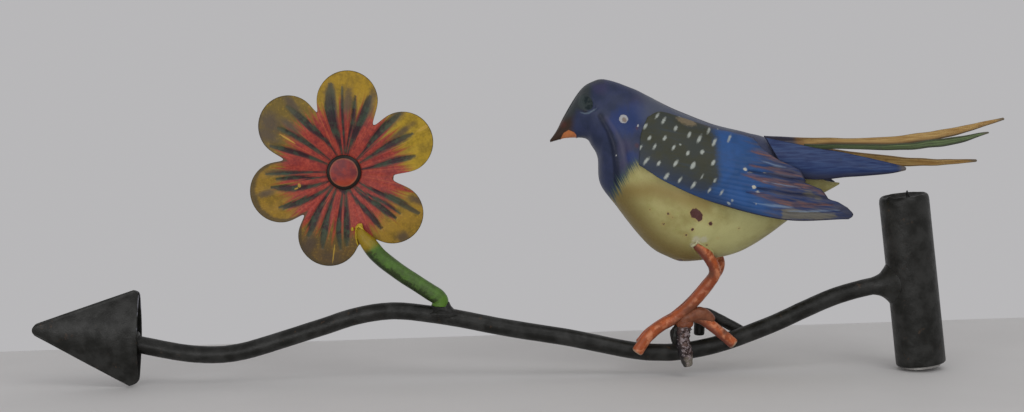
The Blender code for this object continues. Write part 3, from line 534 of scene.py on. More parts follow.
# ---- materials ---------------------------------------------------------------
class Paint:
    """A node material built step by step. Sizes of textures are in millimetres.

    A paint is given as its look, as a colour socket, or as a texture and the two
    looks that it goes between.
    """

    def __init__(self, slot):
        self.slot = slot
        self.material = bpy.data.materials.new(slot)
        self.material.use_nodes = True
        self.tree = self.material.node_tree
        self.shader = self.tree.nodes["Principled BSDF"]
        self.shader.inputs["Specular IOR Level"].default_value = 0.3
        self.place = self.tree.nodes.new("ShaderNodeTexCoord").outputs["Object"]

    def node(self, kind, inputs, **settings):
        node = self.tree.nodes.new(kind)
        for key, value in settings.items():
            setattr(node, key, value)
        for key, value in inputs.items():
            self.feed(node.inputs[key], value)
        return node

    def feed(self, socket, value):
        if isinstance(value, bpy.types.NodeSocket):
            self.tree.links.new(value, socket)
        else:
            socket.default_value = value

    def math(self, operation, a, b=0.0, c=0.0):
        return self.node("ShaderNodeMath", {0: a, 1: b, 2: c}, operation=operation).outputs[0]

    def field(self, name, output="Fac"):
        return self.node("ShaderNodeAttribute", {}, attribute_name=name).outputs[output]

    def noise(self, size, detail=3.0, roughness=0.55, stretch=(1, 1, 1), turn=0.0):
        """Noise of about the given feature size, drawn out along its own axes."""
        scale = tuple(1 / (size * s * MM) for s in stretch)
        turned = self.node("ShaderNodeMapping", {
            "Vector": self.place, "Rotation": (0, math.radians(turn), 0)})
        spread = self.node("ShaderNodeMapping", {"Vector": turned.outputs[0], "Scale": scale})
        return self.node("ShaderNodeTexNoise", {
            "Vector": spread.outputs[0], "Scale": 1.0, "Detail": detail,
            "Roughness": roughness}).outputs["Fac"]

    def strands(self, field, size):
        """Noise in one direction only, along a field in millimetres."""
        return self.node("ShaderNodeTexNoise", {
            "W": self.math("MULTIPLY", self.field(field), 1 / size), "Scale": 1.0, "Detail": 2.0},
            noise_dimensions="1D").outputs["Fac"]

    def shift(self, value, texture, amount):
        """The value moved up and down by a texture, to fray a mark's outline."""
        return self.math("ADD", value, self.math("MULTIPLY_ADD", texture, amount, -amount / 2))

    def mask(self, value, low, high):
        return self.node("ShaderNodeMapRange", {"Value": value, "From Min": low, "From Max": high},
                         interpolation_type="SMOOTHSTEP").outputs["Result"]

    def mark(self, field, texture, fray, low, high):
        """A mask that rises from low to high in a field frayed by a texture."""
        return self.mask(self.shift(self.field(field), texture, fray), low, high)

    def mix(self, factor, below, above):
        return self.node("ShaderNodeMix", {0: factor, 6: below, 7: above}, data_type="RGBA").outputs[2]

    def paint(self, value):
        if isinstance(value, bpy.types.NodeSocket):
            return value
        if isinstance(value[0], bpy.types.NodeSocket):
            return self.mix(value[0], tone(*value[1]), tone(*value[2]))
        return tone(*value)

    def coat(self, colour, where, share, paint):
        """The colour with a share of a paint over it where a mask says."""
        factor = where if share == 1 else self.math("MULTIPLY", where, share)
        return self.mix(factor, colour, self.paint(paint))

    def marks(self, colour, *marks):
        """Coats the colour with marks: field, texture, fray, low, high, share and paint."""
        for *outline, share, paint in marks:
            colour = self.coat(colour, self.mark(*outline), share, paint)
        return colour

    def finish(self, colour, gloss, height, depth):
        """Links colour, roughness and bump, and keeps the material under its slot.

        gloss is the texture of the roughness, its share and the lowest value;
        depth is the bump's in millimetres.
        """
        self.feed(self.shader.inputs["Base Color"], colour)
        self.feed(self.shader.inputs["Roughness"], self.math("MULTIPLY_ADD", *gloss))
        bump = self.node("ShaderNodeBump", {"Height": height, "Strength": 0.6, "Distance": depth * MM})
        self.tree.links.new(bump.outputs[0], self.shader.inputs["Normal"])
        PAINTS[self.slot] = self.material


def black_paint():
    p = Paint("black_paint")
    colour = p.paint((p.mask(p.noise(7, 4), 0.35, 0.7), (45, 45, 44), (57, 57, 56)))
    colour = p.coat(colour, p.mask(p.noise(5, 6, 0.7), 0.62, 0.72), 0.55, (84, 68, 56))
    scuff = p.mask(p.noise(1.3, 5, 0.75, (1, 1, 2)), 0.70, 0.76)
    colour = p.coat(colour, scuff, 0.7, (112, 110, 106))
    # painted highlight: pale glints along the arrow plates' back edges
    colour = p.marks(colour, ("bare", p.noise(2.4, 3), 1.6, 0.6, 1.0, 0.7, (128, 128, 136)))
    height = p.math("MULTIPLY_ADD", p.noise(0.8, 4), 0.5, p.noise(4, 3))
    p.finish(colour, (p.noise(3, 4), 0.35, 0.24), height, 0.35)


def bare_steel():
    p = Paint("bare_steel")
    streaks = p.noise(0.5, 4, stretch=(1, 1, 30))
    colour = p.mix(streaks, (0.32, 0.31, 0.30, 1), (0.52, 0.51, 0.49, 1))
    colour = p.mix(p.mask(p.noise(6, 6), 0.6, 0.75), colour, (0.20, 0.10, 0.05, 1))
    p.shader.inputs["Metallic"].default_value = 0.9
    p.finish(colour, (streaks, 0.3, 0.3), streaks, 0.05)


def rusty_iron():
    p = Paint("rusty_iron")
    patches = p.noise(2.2, 5, 0.7)
    colour = p.paint((p.mask(patches, 0.4, 0.6), (52, 46, 46), (92, 76, 72)))
    colour = p.marks(
        colour,
        ("along", patches, 5, 15.5, 18.5, 1, (p.noise(0.8, 4), (92, 88, 80), (124, 118, 108))),
        # darker on the lower left side of the toe: partly black paint, partly painted shade
        ("under", patches, 0.8, 0.1, 0.5, 0.85, (46, 46, 48)))
    # painted highlight: pale pinkish glints on the side of the toe that faces the light
    ridge = p.math("MULTIPLY", p.mask(p.field("facing"), 0.3, 0.8), p.mask(p.noise(1.6, 4), 0.5, 0.6))
    colour = p.coat(colour, ridge, 0.75, (140, 130, 132))
    colour = p.coat(colour, p.mask(p.noise(1.1, 3), 0.63, 0.68), 0.7, (164, 156, 158))
    p.finish(colour, (patches, 0.4, 0.32), p.noise(0.9, 5), 0.7)


def leg_orange():
    p = Paint("leg_orange_paint")
    patches = p.noise(4, 5, 0.65)
    colour = p.paint((p.mask(patches, 0.3, 0.7), (126, 72, 52), (166, 88, 56)))
    # painted highlight: a pale streak down the side of the wires that faces the light
    streak = p.math("MULTIPLY", p.mask(p.field("facing"), 0.35, 0.8), p.mask(p.noise(3.2, 3), 0.42, 0.58))
    colour = p.coat(colour, streak, 0.5, (206, 142, 108))
    colour = p.marks(
        colour,
        # painted shade on the lower left side of the wires
        ("under", patches, 1.4, -0.15, 0.55, 0.7, (88, 60, 58)),
        ("bruise", patches, 0.8, 0.2, 0.9, 0.85, (p.noise(1.5, 4), (80, 60, 54), (120, 78, 60))),
        ("end", p.noise(2, 4), 2.2, 1.0, 0.1, 0.8, (146, 134, 116)))
    colour = p.coat(colour, p.mask(p.noise(1.6, 5, 0.7), 0.66, 0.71), 0.8, (68, 62, 54))
    height = p.math("MULTIPLY_ADD", p.noise(0.7, 3), 0.4, p.noise(2.5, 4))
    p.finish(colour, (patches, 0.3, 0.22), height, 0.4)


def stem_green():
    p = Paint("stem_green_paint")
    patches = p.noise(5, 5)
    colour = p.marks(
        p.paint((p.mask(patches, 0.3, 0.7), (72, 88, 56), (82, 108, 58))),
        # painted shade on the lower left side of the stem
        ("under", p.noise(3.5, 6, 0.75), 2.8, 0.0, 0.5, 0.8, (52, 56, 46)),
        ("along", p.noise(3, 4), 6, 17, 11, 1, (patches, (120, 100, 40), (146, 124, 54))),
        ("along", p.noise(3, 4), 4, 47, 52, 0.5, (90, 124, 54)))
    p.finish(colour, (patches, 0.25, 0.28), p.noise(1.5, 5), 0.35)


def ochre_paint():
    p = Paint("ochre_paint")
    colour = p.paint((p.noise(2, 4), (120, 98, 26), (196, 172, 66)))
    p.finish(colour, (p.noise(1, 3), 0.25, 0.18), p.noise(1.2, 3), 0.4)


def petal_paint():
    p = Paint("petal_paint")
    radius, rays = p.field("radius"), p.strands("ray", 1.4)
    patches, fine = p.noise(5, 5, 0.65), p.noise(1.3, 4)
    tips = p.coat(p.field("tip_colour", "Color"), p.mask(patches, 0.4, 0.7), 0.55, (90, 78, 46))
    tips = p.coat(tips, p.mask(fine, 0.5, 0.75), 0.35, (172, 140, 52))
    heart = p.paint((p.mask(fine, 0.3, 0.7), (128, 58, 54), (154, 72, 62)))
    heart = p.coat(heart, p.mask(patches, 0.45, 0.65), 0.7, (108, 54, 56))
    reach = p.shift(p.shift(radius, rays, 20), patches, 9)
    amber = p.coat(heart, p.mask(reach, 24, 34), 1, (134, 84, 52))
    colour = p.coat(amber, p.mask(reach, 27, 36), 1, tips)
    streak = p.math("MULTIPLY", p.mask(p.strands("ray", 0.8), 0.60, 0.72), p.mask(radius, 36, 26))
    colour = p.coat(colour, streak, 0.4, (166, 98, 62))
    colour = p.marks(
        colour,
        # painted shade along the petals' edges that face left
        ("dark_edge", patches, 2.5, 0.2, 2.2, 0.8, (78, 70, 56)),
        ("smoke", patches, 0.9, -0.35, 0.75, 0.8, (fine, (86, 78, 66), (72, 62, 62))))
    stroke = p.mask(p.shift(p.shift(p.field("stroke"), fine, 1.0), rays, 1.6), -0.75, 0.6)
    ink = p.paint((p.mask(patches, 0.42, 0.62), (44, 46, 50), (56, 72, 62)))
    ink = p.coat(ink, p.mask(p.shift(radius, patches, 12), 28, 44), 0.75, (84, 80, 66))
    colour = p.marks(
        p.coat(colour, stroke, 0.92, ink),
        ("gold", fine, 0.6, -0.1, 0.3, 0.8, (168, 138, 66)),
        ("rim", fine, 0.6, 0.7, 0.2, 0.75, (64, 58, 46)))
    colour = p.coat(colour, p.mask(p.noise(1.2, 5, 0.7), 0.69, 0.73), 1, (66, 58, 48))
    height = p.math("MULTIPLY_ADD", p.strands("ray", 0.7), 0.7, p.noise(1.2, 4))
    p.finish(colour, (patches, 0.25, 0.34), height, 0.22)


def hub_paint():
    p = Paint("red_paint")
    patches = p.noise(3.5, 4)
    colour = p.marks(
        p.paint((p.mask(patches, 0.35, 0.65), (104, 56, 58), (132, 62, 58))),
        ("low", patches, 3, 2.5, 5.5, 0.7, (152, 68, 48)),
        ("radius", patches, 0.8, 6.3, 7.0, 0.5, (146, 104, 84)),
        ("radius", patches, 0.5, 7.0, 7.45, 1, (48, 46, 44)))
    p.finish(colour, (patches, 0.2, 0.3), p.noise(1.4, 4), 0.25)


def bird_body_paint():
    p = Paint("bird_body_paint")
    patches, fine = p.noise(7, 4), p.noise(1.1, 4)
    streaks = p.noise(1.6, 4, stretch=(1, 1, 5), turn=-15)
    beak = (p.mark("beak", patches, 6, -4, 4), (56, 60, 62), (62, 52, 47))
    iris = (p.mask(p.noise(1.8, 3), 0.4, 0.6), (42, 48, 50), (56, 62, 62))
    blue = p.marks(
        p.paint((p.mask(patches, 0.3, 0.7), (52, 57, 74), (57, 62, 84))),
        ("purple", streaks, 0.5, 0.2, 0.8, 0.5, (66, 62, 84)),
        ("bright", streaks, 0.5, 0.25, 0.85, 0.75, (patches, (47, 60, 92), (48, 60, 106))),
        ("back", patches, 9, -4, 9, 0.85, (patches, (82, 87, 94), (74, 79, 98))),
        ("rump", patches, 6, 0, 5, 0.9, (patches, (54, 62, 90), (74, 74, 84))),
        ("seam", fine, 1.5, 2.4, 0.8, 0.5, (84, 80, 84)),
        ("face", patches, 3, -1.8, 1.8, 1, beak),
        ("rusty", fine, 0, 0.2, 0.9, 0.5, (84, 54, 50)),
        # painted shade in the neck's crease, and a painted highlight along its ridge
        ("crease", fine, 0.8, -0.7, 0.7, 0.8, (40, 45, 56)),
        ("ridge", fine, 0.8, -0.6, 0.9, 0.35, (80, 78, 96)),
        ("eye_ring", fine, 1.0, -0.3, 0.6, 0.4, (68, 76, 76)),
        ("eye", fine, 0.8, -0.3, 0.5, 1, iris),
        ("lid", fine, 0.6, -0.2, 0.4, 0.5, (108, 122, 134)))

    cream = p.paint((p.mask(patches, 0.3, 0.7), (138, 130, 86), (156, 150, 104)))
    cream = p.marks(
        p.coat(cream, p.mask(p.noise(3, 5), 0.5, 0.75), 0.4, (146, 146, 92)),
        # partly paler paint, partly painted light on the lower belly
        ("belly_light", patches, 0.6, 0.1, 0.9, 0.7, (170, 168, 120)),
        ("warm", patches, 0.6, 0.2, 1.0, 0.7, (126, 108, 68)),
        # painted shade towards the belly's front lower edge
        ("brown", patches, 0.5, 0.1, 1.0, 0.85, (fine, (94, 80, 52), (118, 102, 66))))
    cream = p.coat(cream, p.mask(p.noise(0.7, 5, 0.75), 0.56, 0.72), 0.35, (110, 96, 58))

    hairs = p.math("MULTIPLY_ADD", p.strands("strand", 0.4), 0.7, p.strands("strand", 0.9))
    strands = p.math("MULTIPLY", p.math("SUBTRACT", hairs, 0.85), p.field("feather"))
    border = p.shift(p.math("MULTIPLY_ADD", strands, 8.0, p.field("belly")), fine, 1.8)
    colour = p.coat(blue, p.mask(border, -4.5, 0.5), 0.75, (66, 84, 76))
    hole, pale_chip = ("chip", fine, 1.3, -0.05, 0.35), ("pale_chip", fine, 0.8, -0.1, 0.25)
    colour = p.marks(
        p.coat(colour, p.mask(border, -1.8, 2.6), 1, cream),
        ("orange", fine, 0.5, -0.1, 0.35, 1, (p.noise(2, 4), (160, 90, 58), (186, 126, 84))),
        (*pale_chip, 0.9, (154, 154, 154)),
        ("chip_core", fine, 1.2, 0.0, 0.5, 0.85, (112, 100, 90)),
        (*hole, 1, (p.noise(1.5, 4), (66, 48, 44), (96, 70, 70))))
    rim = p.math("MULTIPLY", p.mask(p.field("chip"), -1.0, -0.1), p.mask(p.mark(*hole), 1.0, 0.0))
    colour = p.marks(
        p.coat(colour, rim, 0.25, (160, 136, 90)),
        ("leg_root", fine, 0.8, 0.25, 0.8, 0.8, (patches, (182, 174, 156), (150, 152, 124))))
    colour = p.coat(colour, p.mask(p.noise(0.9, 4, 0.7), 0.70, 0.73), 0.8, (84, 72, 52))

    height = p.math("MULTIPLY", p.noise(3.5, 4), 1.2)
    for bump, share in ((p.noise(0.8, 3), 0.35), (p.mark(*hole), -0.8), (p.mark(*pale_chip), -0.6)):
        height = p.math("MULTIPLY_ADD", bump, share, height)
    p.finish(colour, (patches, 0.3, 0.3), height, 0.3)


def wing_paint():
    p = Paint("wing_paint")
    patches, fine = p.noise(7, 4), p.noise(1.1, 4)
    streaks = p.noise(1.1, 4, stretch=(12, 1.5, 1), turn=-18)
    blue = p.paint((p.mask(patches, 0.3, 0.7), (50, 74, 112), (54, 82, 128)))
    blue = p.marks(
        p.coat(blue, p.mask(streaks, 0.5, 0.75), 0.4, (58, 72, 110)),
        ("rear", streaks, 24, 0, 20, 0.85, (p.mask(streaks, 0.35, 0.65), (50, 56, 84), (78, 75, 82))),
        ("rear", streaks, 14, 36, 48, 0.8, (60, 62, 74)),
        ("low_navy", patches, 4, -2, 5, 0.8, (46, 60, 88)))
    olive = p.paint((p.mask(patches, 0.35, 0.65), (63, 64, 55), (62, 65, 62)))
    olive = p.marks(olive, ("olive_low", patches, 8, -3, 7, 1, (54, 60, 72)))
    olive = p.coat(olive, p.mask(streaks, 0.55, 0.7), 0.4, (60, 68, 76))
    shoulder = p.mask(p.shift(p.shift(p.field("olive"), patches, 6), fine, 3), -2.0, 3.0)
    top = p.math("MULTIPLY", p.mark("edge_top", patches, 3, 3.4, 0.8), p.field("behind"))
    dots = ("dots", fine, 0.9, -0.35, 0.5)
    colour = p.marks(
        p.coat(p.mix(shoulder, blue, olive), top, 0.6, (streaks, (72, 70, 80), (90, 86, 88))),
        ("tan", fine, 2.4, -0.8, 0.9, 0.65, (fine, (106, 98, 78), (142, 124, 100))),
        ("brown", streaks, 1.5, -0.7, 0.7, 0.72, (p.mask(streaks, 0.42, 0.65), (84, 72, 76), (118, 82, 70))),
        ("worn", streaks, 2.6, -0.6, 0.9, 0.85, (streaks, (80, 78, 70), (114, 110, 98))),
        # painted highlight along the flutes' ridges
        ("light", streaks, 1.2, -0.2, 0.4, 0.6, (112, 130, 152)),
        ("glint", streaks, 1.8, 0.0, 0.7, 0.85, (fine, (168, 160, 132), (196, 194, 184))),
        # painted shade in the grooves between the lobes
        ("lobes", fine, 0.6, -0.5, 0.5, 0.6, (46, 46, 58)),
        (*dots, 0.9, (fine, (136, 142, 136), (166, 170, 164))))
    # painted shade along the rear edges of the lobes
    rim = p.math("MULTIPLY", p.mark("rim", fine, 0.8, 1.1, 0.2), p.field("behind"))
    colour = p.coat(colour, rim, 0.75, (50, 48, 54))
    colour = p.coat(colour, p.mask(p.noise(0.9, 4, 0.7), 0.69, 0.73), 0.5, (92, 90, 88))
    height = p.math("MULTIPLY_ADD", p.noise(3, 4), 0.8, streaks)
    height = p.math("MULTIPLY_ADD", p.mark(*dots), 0.5, height)
    p.finish(colour, (patches, 0.25, 0.36), height, 0.3)


def feather_paint(name, dark, light, speckle, edge, spots, root=None):
    """Thin paint on a long tail feather, rubbed along its edges."""
    p = Paint(name)
    streaks = p.noise(1.0, 5, stretch=(14, 1.5, 1), turn=-6)
    patches, fine = p.noise(6, 5, 0.7), p.noise(1.0, 4)
    colour = p.paint((p.mask(streaks, 0.3, 0.7), dark, light))
    colour = p.marks(
        p.coat(colour, p.mask(patches, 0.55, 0.72), 0.6, speckle),
        ("low", streaks, 0.3, 0.68, 0.95, 0.75, edge),
        ("rim", fine, 0.8, 0.75, 0.2, 0.7, edge))
    colour = p.marks(
        p.coat(colour, p.mask(p.noise(1.1, 5, 0.7), spots, spots + 0.05), 0.8, speckle),
        ("tip", fine, 3, 5, 1.5, 0.8, (92, 86, 78)))
    if root:
        under_tan = (p.mask(p.field("root"), 18, 14), speckle, root)
        colour = p.marks(colour, ("root", patches, 6, 23, 18, 0.9, under_tan))
    p.finish(colour, (patches, 0.3, 0.3), streaks, 0.25)


# ---- pieces ------------------------------------------------------------------
def add_object(name, data):
    thing = bpy.data.objects.new(name, data)
    bpy.context.scene.collection.objects.link(thing)
    return thing


def add_piece(name, points, faces, slot, nodes=(), fields=None, sharp=None):
    """One piece of the vane from vane-frame millimetres, with its paint fields."""
    mesh = bpy.data.meshes.new(name)
    world = (np.reshape(points, (-1, 3)) + (0, 0, RUNNING_GAP)) * MM
    mesh.from_pydata(world.tolist(), [], faces)
    tidy = bmesh.new()
    tidy.from_mesh(mesh)
    bmesh.ops.recalc_face_normals(tidy, faces=tidy.faces)
    tidy.to_mesh(mesh)
    tidy.free()
    mesh.shade_smooth()
    if sharp:
        mesh.set_sharp_from_angle(angle=math.radians(sharp))
    mesh.materials.append(PAINTS[slot])
    for field, values in (fields or {}).items():
        values = np.asarray(values, float)
        kind, key = ("FLOAT_COLOR", "color") if values.shape[1:] == (4,) else ("FLOAT", "value")
        mesh.attributes.new(field, kind, "POINT").data.foreach_set(key, values.ravel())
    piece = add_object(name, mesh)
    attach(piece, "vane")
    if nodes:
        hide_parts(*nodes)


def add_bar(name, route, radius, slot, nodes=(), marks=None, **shape):
    """A piece made of a tube. marks(points) gives fields to add to the tube's own."""
    points, faces, fields = tube(route, radius, **shape)
    if marks:
        fields.update(marks(points))
    add_piece(name, points, faces, slot, nodes, fields)


def add_sheet(name, middle, thickness, slot, nodes, fields, wrap=False):
    """A piece made of a shell, with fields given on its grid of middle points."""
    points, faces, source = shell(middle, thickness, wrap)
    fields = {key: values.reshape(middle.size // 3, -1)[source] for key, values in fields.items()}
    add_piece(name, points, faces, slot, nodes, fields)


def uneven(reach, *waves):
    """The swell of a hammered bar: waves of (share of the radius, size in millimetres)."""
    def swell(along, angle):
        ring = np.stack(np.broadcast_arrays(along, reach * np.cos(angle), reach * np.sin(angle)), -1)
        return sum(share * wobble(ring, size) for share, size in waves)
    return swell


# ---- sleeve and arrow --------------------------------------------------------
def make_sleeve():
    """The tube with its beaten top lip, and the cap welded inside it."""
    outer, bore, top = SLEEVE_RADIUS, SLEEVE_BORE_RADIUS, SLEEVE_LENGTH
    wall = [(outer, h) for h in np.linspace(84.5, 1.2, 90)]
    profile = [
        (outer - 1.5, top), (outer - 0.9, top - 0.1), (outer - 0.35, top - 0.7), (outer - 0.08, top - 1.6),
        *wall, (outer - 0.1, 0.5), (outer - 0.5, 0.05), (outer - 0.9, 0.0), (bore + 0.5, 0.0),
        (bore + 0.1, 0.3), (bore, 0.8), (bore, 40.0), (bore, top - 1.0), (bore + 0.15, top - 0.3),
        (bore + 0.5, top)]
    grid, faces = revolve(profile, 144, closed=True)
    angle = np.arctan2(grid[..., 1], grid[..., 0])
    lip = np.clip((grid[..., 2] - top + 3) / 3, 0, 1)
    burr = np.exp(-((angle + 2.45) / 0.16) ** 2)
    grid[..., 2] += lip * (0.35 * wobble(grid * (1, 1, 0), 5) + 1.1 * burr)
    pull = -0.35 * lip * (1 + wobble(grid, 6, 3)) - 0.12 * np.abs(wobble(grid * (1, 1, 0.4), 9, 7))
    outside = np.hypot(grid[..., 0], grid[..., 1]) > bore + 1
    grid[..., :2] += (unit(grid * (1, 1, 0)) * (pull * outside)[..., None])[..., :2]
    add_piece("sleeve_tube", grid, faces, "black_paint", ["pivot_sleeve"], sharp=50)

    reach = bore - 0.1
    profile = [
        (0.05, CAP_TOP), (2, CAP_TOP), (5, CAP_TOP), (8, CAP_TOP), (reach - 1.6, CAP_TOP),
        (reach - 0.9, CAP_TOP + 0.3), (reach - 0.3, CAP_TOP + 0.9), (reach, CAP_TOP + 1.2),
        (reach, CAP_TOP - 1.8), (5, CAP_TOP - 2.0), (0.05, CAP_TOP - 2.0)]
    grid, faces = revolve(profile, 96)
    grid[..., 2] += 0.3 * wobble(grid, 2.5, 4) * (grid[..., 2] > CAP_TOP - 1)
    add_piece("sleeve_cap_disc", grid, faces, "black_paint", ["sleeve_cap"], sharp=60)
    add_bar("cap_weld_nib", CAP_NIB, 0.8, "black_paint", sides=16, spacing=0.25, rounding=0.2)


def make_arm():
    add_bar("arrow_bar", ARM_ROUTE, ARM_RADIUS, "black_paint", ["arrow_arm"], sides=40, spacing=1.1,
            swell=uneven(8, (0.02, 11), (0.012, 3)))

    # the fillet of weld follows the round wall of the sleeve
    outer = [(4.05, 11.5), (4.25, 9.5), (4.6, 7.5), (5.3, 5.2),
             (6.4, 3.2), (7.9, 1.6), (9.3, 0.6), (10.2, 0.05)]
    inner = [(9.8, -0.5), (6.0, -0.5), (3.9, -0.4), (3.8, 5.0), (3.9, 11.3)]
    grid, faces = revolve([*curve_at(outer, np.linspace(0, 1, 30)), *inner], 72, closed=True)
    up, across, off = np.moveaxis(grid, -1, 0)
    lumps = 0.35 * wobble(grid, 3.5) * np.clip(np.hypot(up, across) - 4.3, 0, 1)
    x = -np.sqrt(SLEEVE_RADIUS ** 2 - across ** 2) - off - lumps
    weld = np.stack([x, across, ARM_END_HEIGHT + up], -1)
    add_piece("sleeve_weld", weld, faces, "black_paint", ["arm_sleeve_weld"])


def plate_points(u, v, side):
    """Middle surface of an arrow plate: u from tip to back, v from low to high."""
    u, v = u[:, None], v[None, :]
    tip_low, tip_high = np.array((-449.6, 71.4)), np.array((-448.4, 77.2))
    back_low, back_high = np.array((-405.6, 39.4)), np.array((-396.7, 88.2))
    low = tip_low + (back_low - tip_low) * u[..., None]
    high = tip_high + (back_high - tip_high) * u[..., None]
    flat = low + (high - low) * v[..., None]
    x = flat[..., 0] - 1.8 * (1 - (2 * v - 1) ** 2) * (1 - u) ** 8
    x = x + (5.0 - 1.6 * v) * (1 - (2 * v - 1) ** 30) * u ** 6
    across = 1 - np.abs(2 * v - 1) ** 1.8
    out = 0.65 + 7.0 * across * u ** 0.9
    return np.stack([x, side * out, flat[..., 1]], -1)


def make_arrowhead():
    for name, node, side in (("arrow_plate_front", "arrowhead_front_plate", LEFT),
                             ("arrow_plate_back", "arrowhead_back_plate", RIGHT)):
        middle = plate_points(edged_steps(90, 55), edged_steps(80, 45), side)
        hem = sum(np.exp(-(run / 1.3) ** 4) for run in run_lengths(middle, 1))
        middle[..., 1] += side * (0.25 * wobble(middle, 14) + 0.12 * wobble(middle, 5) + 0.1 * hem)
        middle[..., 1] = side * np.maximum(side * middle[..., 1], 0.5)
        # painted highlight: the heights on each plate's back edge where pale glints are painted
        rubbed = np.exp(-((middle[..., 2] - 81) / 7) ** 4) + 0.8 * np.exp(-((middle[..., 2] - 69) / 3) ** 2)
        bare = np.clip(1.3 - run_lengths(middle, 0)[1] / 0.6, 0, 1) * rubbed
        thickness = PLATE_THICKNESS + 0.35 * np.clip(hem, 0, 1)
        add_sheet(name, middle, thickness, "black_paint", [node], {"bare": bare})
    ring = [(-399.5 + 0.35 * math.cos(a) * 4.6, 4.8 * math.sin(a), 60.8 + 4.9 * math.cos(a))
            for a in np.linspace(0, 2 * math.pi, 60, endpoint=False)]
    points, faces = bead(ring, 1.3, 5.0)
    add_piece("arrow_weld", points, faces, "black_paint")


# ---- flower ------------------------------------------------------------------
def petal_reach(angle):
    """Radius of the flower's outline at angles in degrees."""
    turn = (angle - PETALS[0][0]) % 360 + PETALS[0][0]
    around = [*PETALS, (PETALS[0][0] + 360, PETALS[0][1])]
    best = np.zeros_like(turn)
    for centre, length in around:
        off = np.radians(turn - centre)
        middle = length - PETAL_HALF_WIDTH
        side = middle * np.sin(off)
        bow = np.sqrt(np.clip(PETAL_HALF_WIDTH ** 2 - side ** 2, 0, None))
        seen = (np.abs(side) < PETAL_HALF_WIDTH) & (np.cos(off) > 0)
        best = np.where(seen, np.maximum(best, middle * np.cos(off) + bow), best)
    for (start, _), (end, _), notch in zip(around, around[1:], NOTCH_RADII):
        between = (start <= turn) & (turn <= end)
        best = np.where(between, np.maximum(best, notch), best)
    return best


def on_flower(radius, angle):
    """Points of the dished sheet at a radius and an angle in degrees."""
    a = np.radians(angle)
    dish = 2.2 * np.cos(math.pi * np.minimum(radius, 52) / 30)
    return FLOWER_CENTRE + np.stack([radius * np.cos(a), dish, radius * np.sin(a)], -1)


def petal_strokes(x, z):
    """Millimetres inside the nearest brush stroke; each swells towards its end."""
    stroke = np.full(x.shape, -9.0)
    places = np.linspace(0, 1, 9)
    for (centre, _), strokes in zip(PETALS, PETAL_STROKES):
        for first, half, last, end, width in strokes:
            radii = STROKE_START + (end - STROKE_START) * places
            turns = np.radians(centre + curve_at([first, half, last], places))
            gap, place = near_line(x, z, list(zip(radii * np.cos(turns), radii * np.sin(turns))))
            swell = np.sin(math.pi * np.clip(place, 0.04, 0.97) ** 1.7) ** 0.7
            stroke = np.maximum(stroke, 0.35 + width * swell - gap - 2.0 * (place >= 1) - 0.5 * (place <= 0))
    return np.maximum(stroke, 0.3 + in_outline(x, z, RING_DRIP))


def petal_dabs(x, z, rows):
    """The highest share inside dabs: petal, offset, radius, half-length, half-width."""
    dabs = []
    for index, offset, where, length, width in rows:
        turn = PETALS[index][0] + offset
        c, s = math.cos(math.radians(turn)), math.sin(math.radians(turn))
        dabs.append(in_oval(x, z, (where * c, where * s, length, width, turn)) / width)
    return most(dabs)


def make_petals():
    angle = np.degrees(2 * math.pi * np.arange(FLOWER_COLUMNS) / FLOWER_COLUMNS)
    reach = petal_reach(angle)
    smooth = np.exp(-(np.arange(-6, 7) / 3.0) ** 2)
    reach = np.convolve(np.concatenate([reach[-6:], reach, reach[:6]]), smooth / smooth.sum(), "valid")
    rows = np.concatenate([[0.01], edged_steps(78, 50)[4:]])
    radius = rows[:, None] * reach[None, :]
    x, z = radius * np.cos(np.radians(angle)), radius * np.sin(np.radians(angle))
    stroke = petal_strokes(x, z)

    middle = on_flower(radius, angle[None, :] + np.zeros_like(radius))
    offsets = np.stack([(angle - centre + 180) % 360 - 180 for centre, _ in PETALS])
    offset = offsets[np.abs(offsets).argmin(0), np.arange(FLOWER_COLUMNS)]
    rise = np.clip((radius - 10) / 12, 0, 1) * np.clip((reach - radius) / 9, 0, 1)
    flutes = 0.45 * np.exp(-(np.clip(1.2 - stroke, 0, None) / 1.3) ** 2)
    ribs = 0.16 * np.cos(np.radians(offset) * 26) * rise
    cup = 1.1 * (np.abs(offset) / 30) ** 2 * np.clip((radius - 22) / 20, 0, 1)
    middle[..., 1] += rise * flutes - ribs - cup + 0.5 * wobble(middle, 16, 2) * rise

    weight = np.clip(1.2 - np.abs(offsets) / 42, 0, None) ** 3
    tips = np.array([tone(*colour) for colour in PETAL_TIPS])
    blend = (weight.T @ tips) / weight.sum(0)[:, None]
    # how far an edge faces left, for the painted shade on the petals' left edges
    towards_left = np.clip(-np.cos(np.radians(angle - 25)), 0, 1)[None, :]
    notch_redness = 14 * np.exp(-((30 - np.abs(offset)) / 10) ** 2)
    add_sheet("petal_sheet", middle, PETAL_THICKNESS, "petal_paint", ["flower_petals"], {
        "radius": radius * 48 / reach * np.clip(reach / 40, 0.7, 1) - notch_redness,
        "ray": angle[None, :] * 0.55 + np.zeros_like(radius),
        "stroke": stroke,
        "smoke": petal_dabs(x, z, PETAL_SMOKE),
        "gold": petal_dabs(x, z, PETAL_GOLD),
        "rim": reach - radius,
        "dark_edge": 4.5 * towards_left - (reach - radius),
        "tip_colour": np.broadcast_to(blend, (*radius.shape, 4)),
    }, wrap=True)


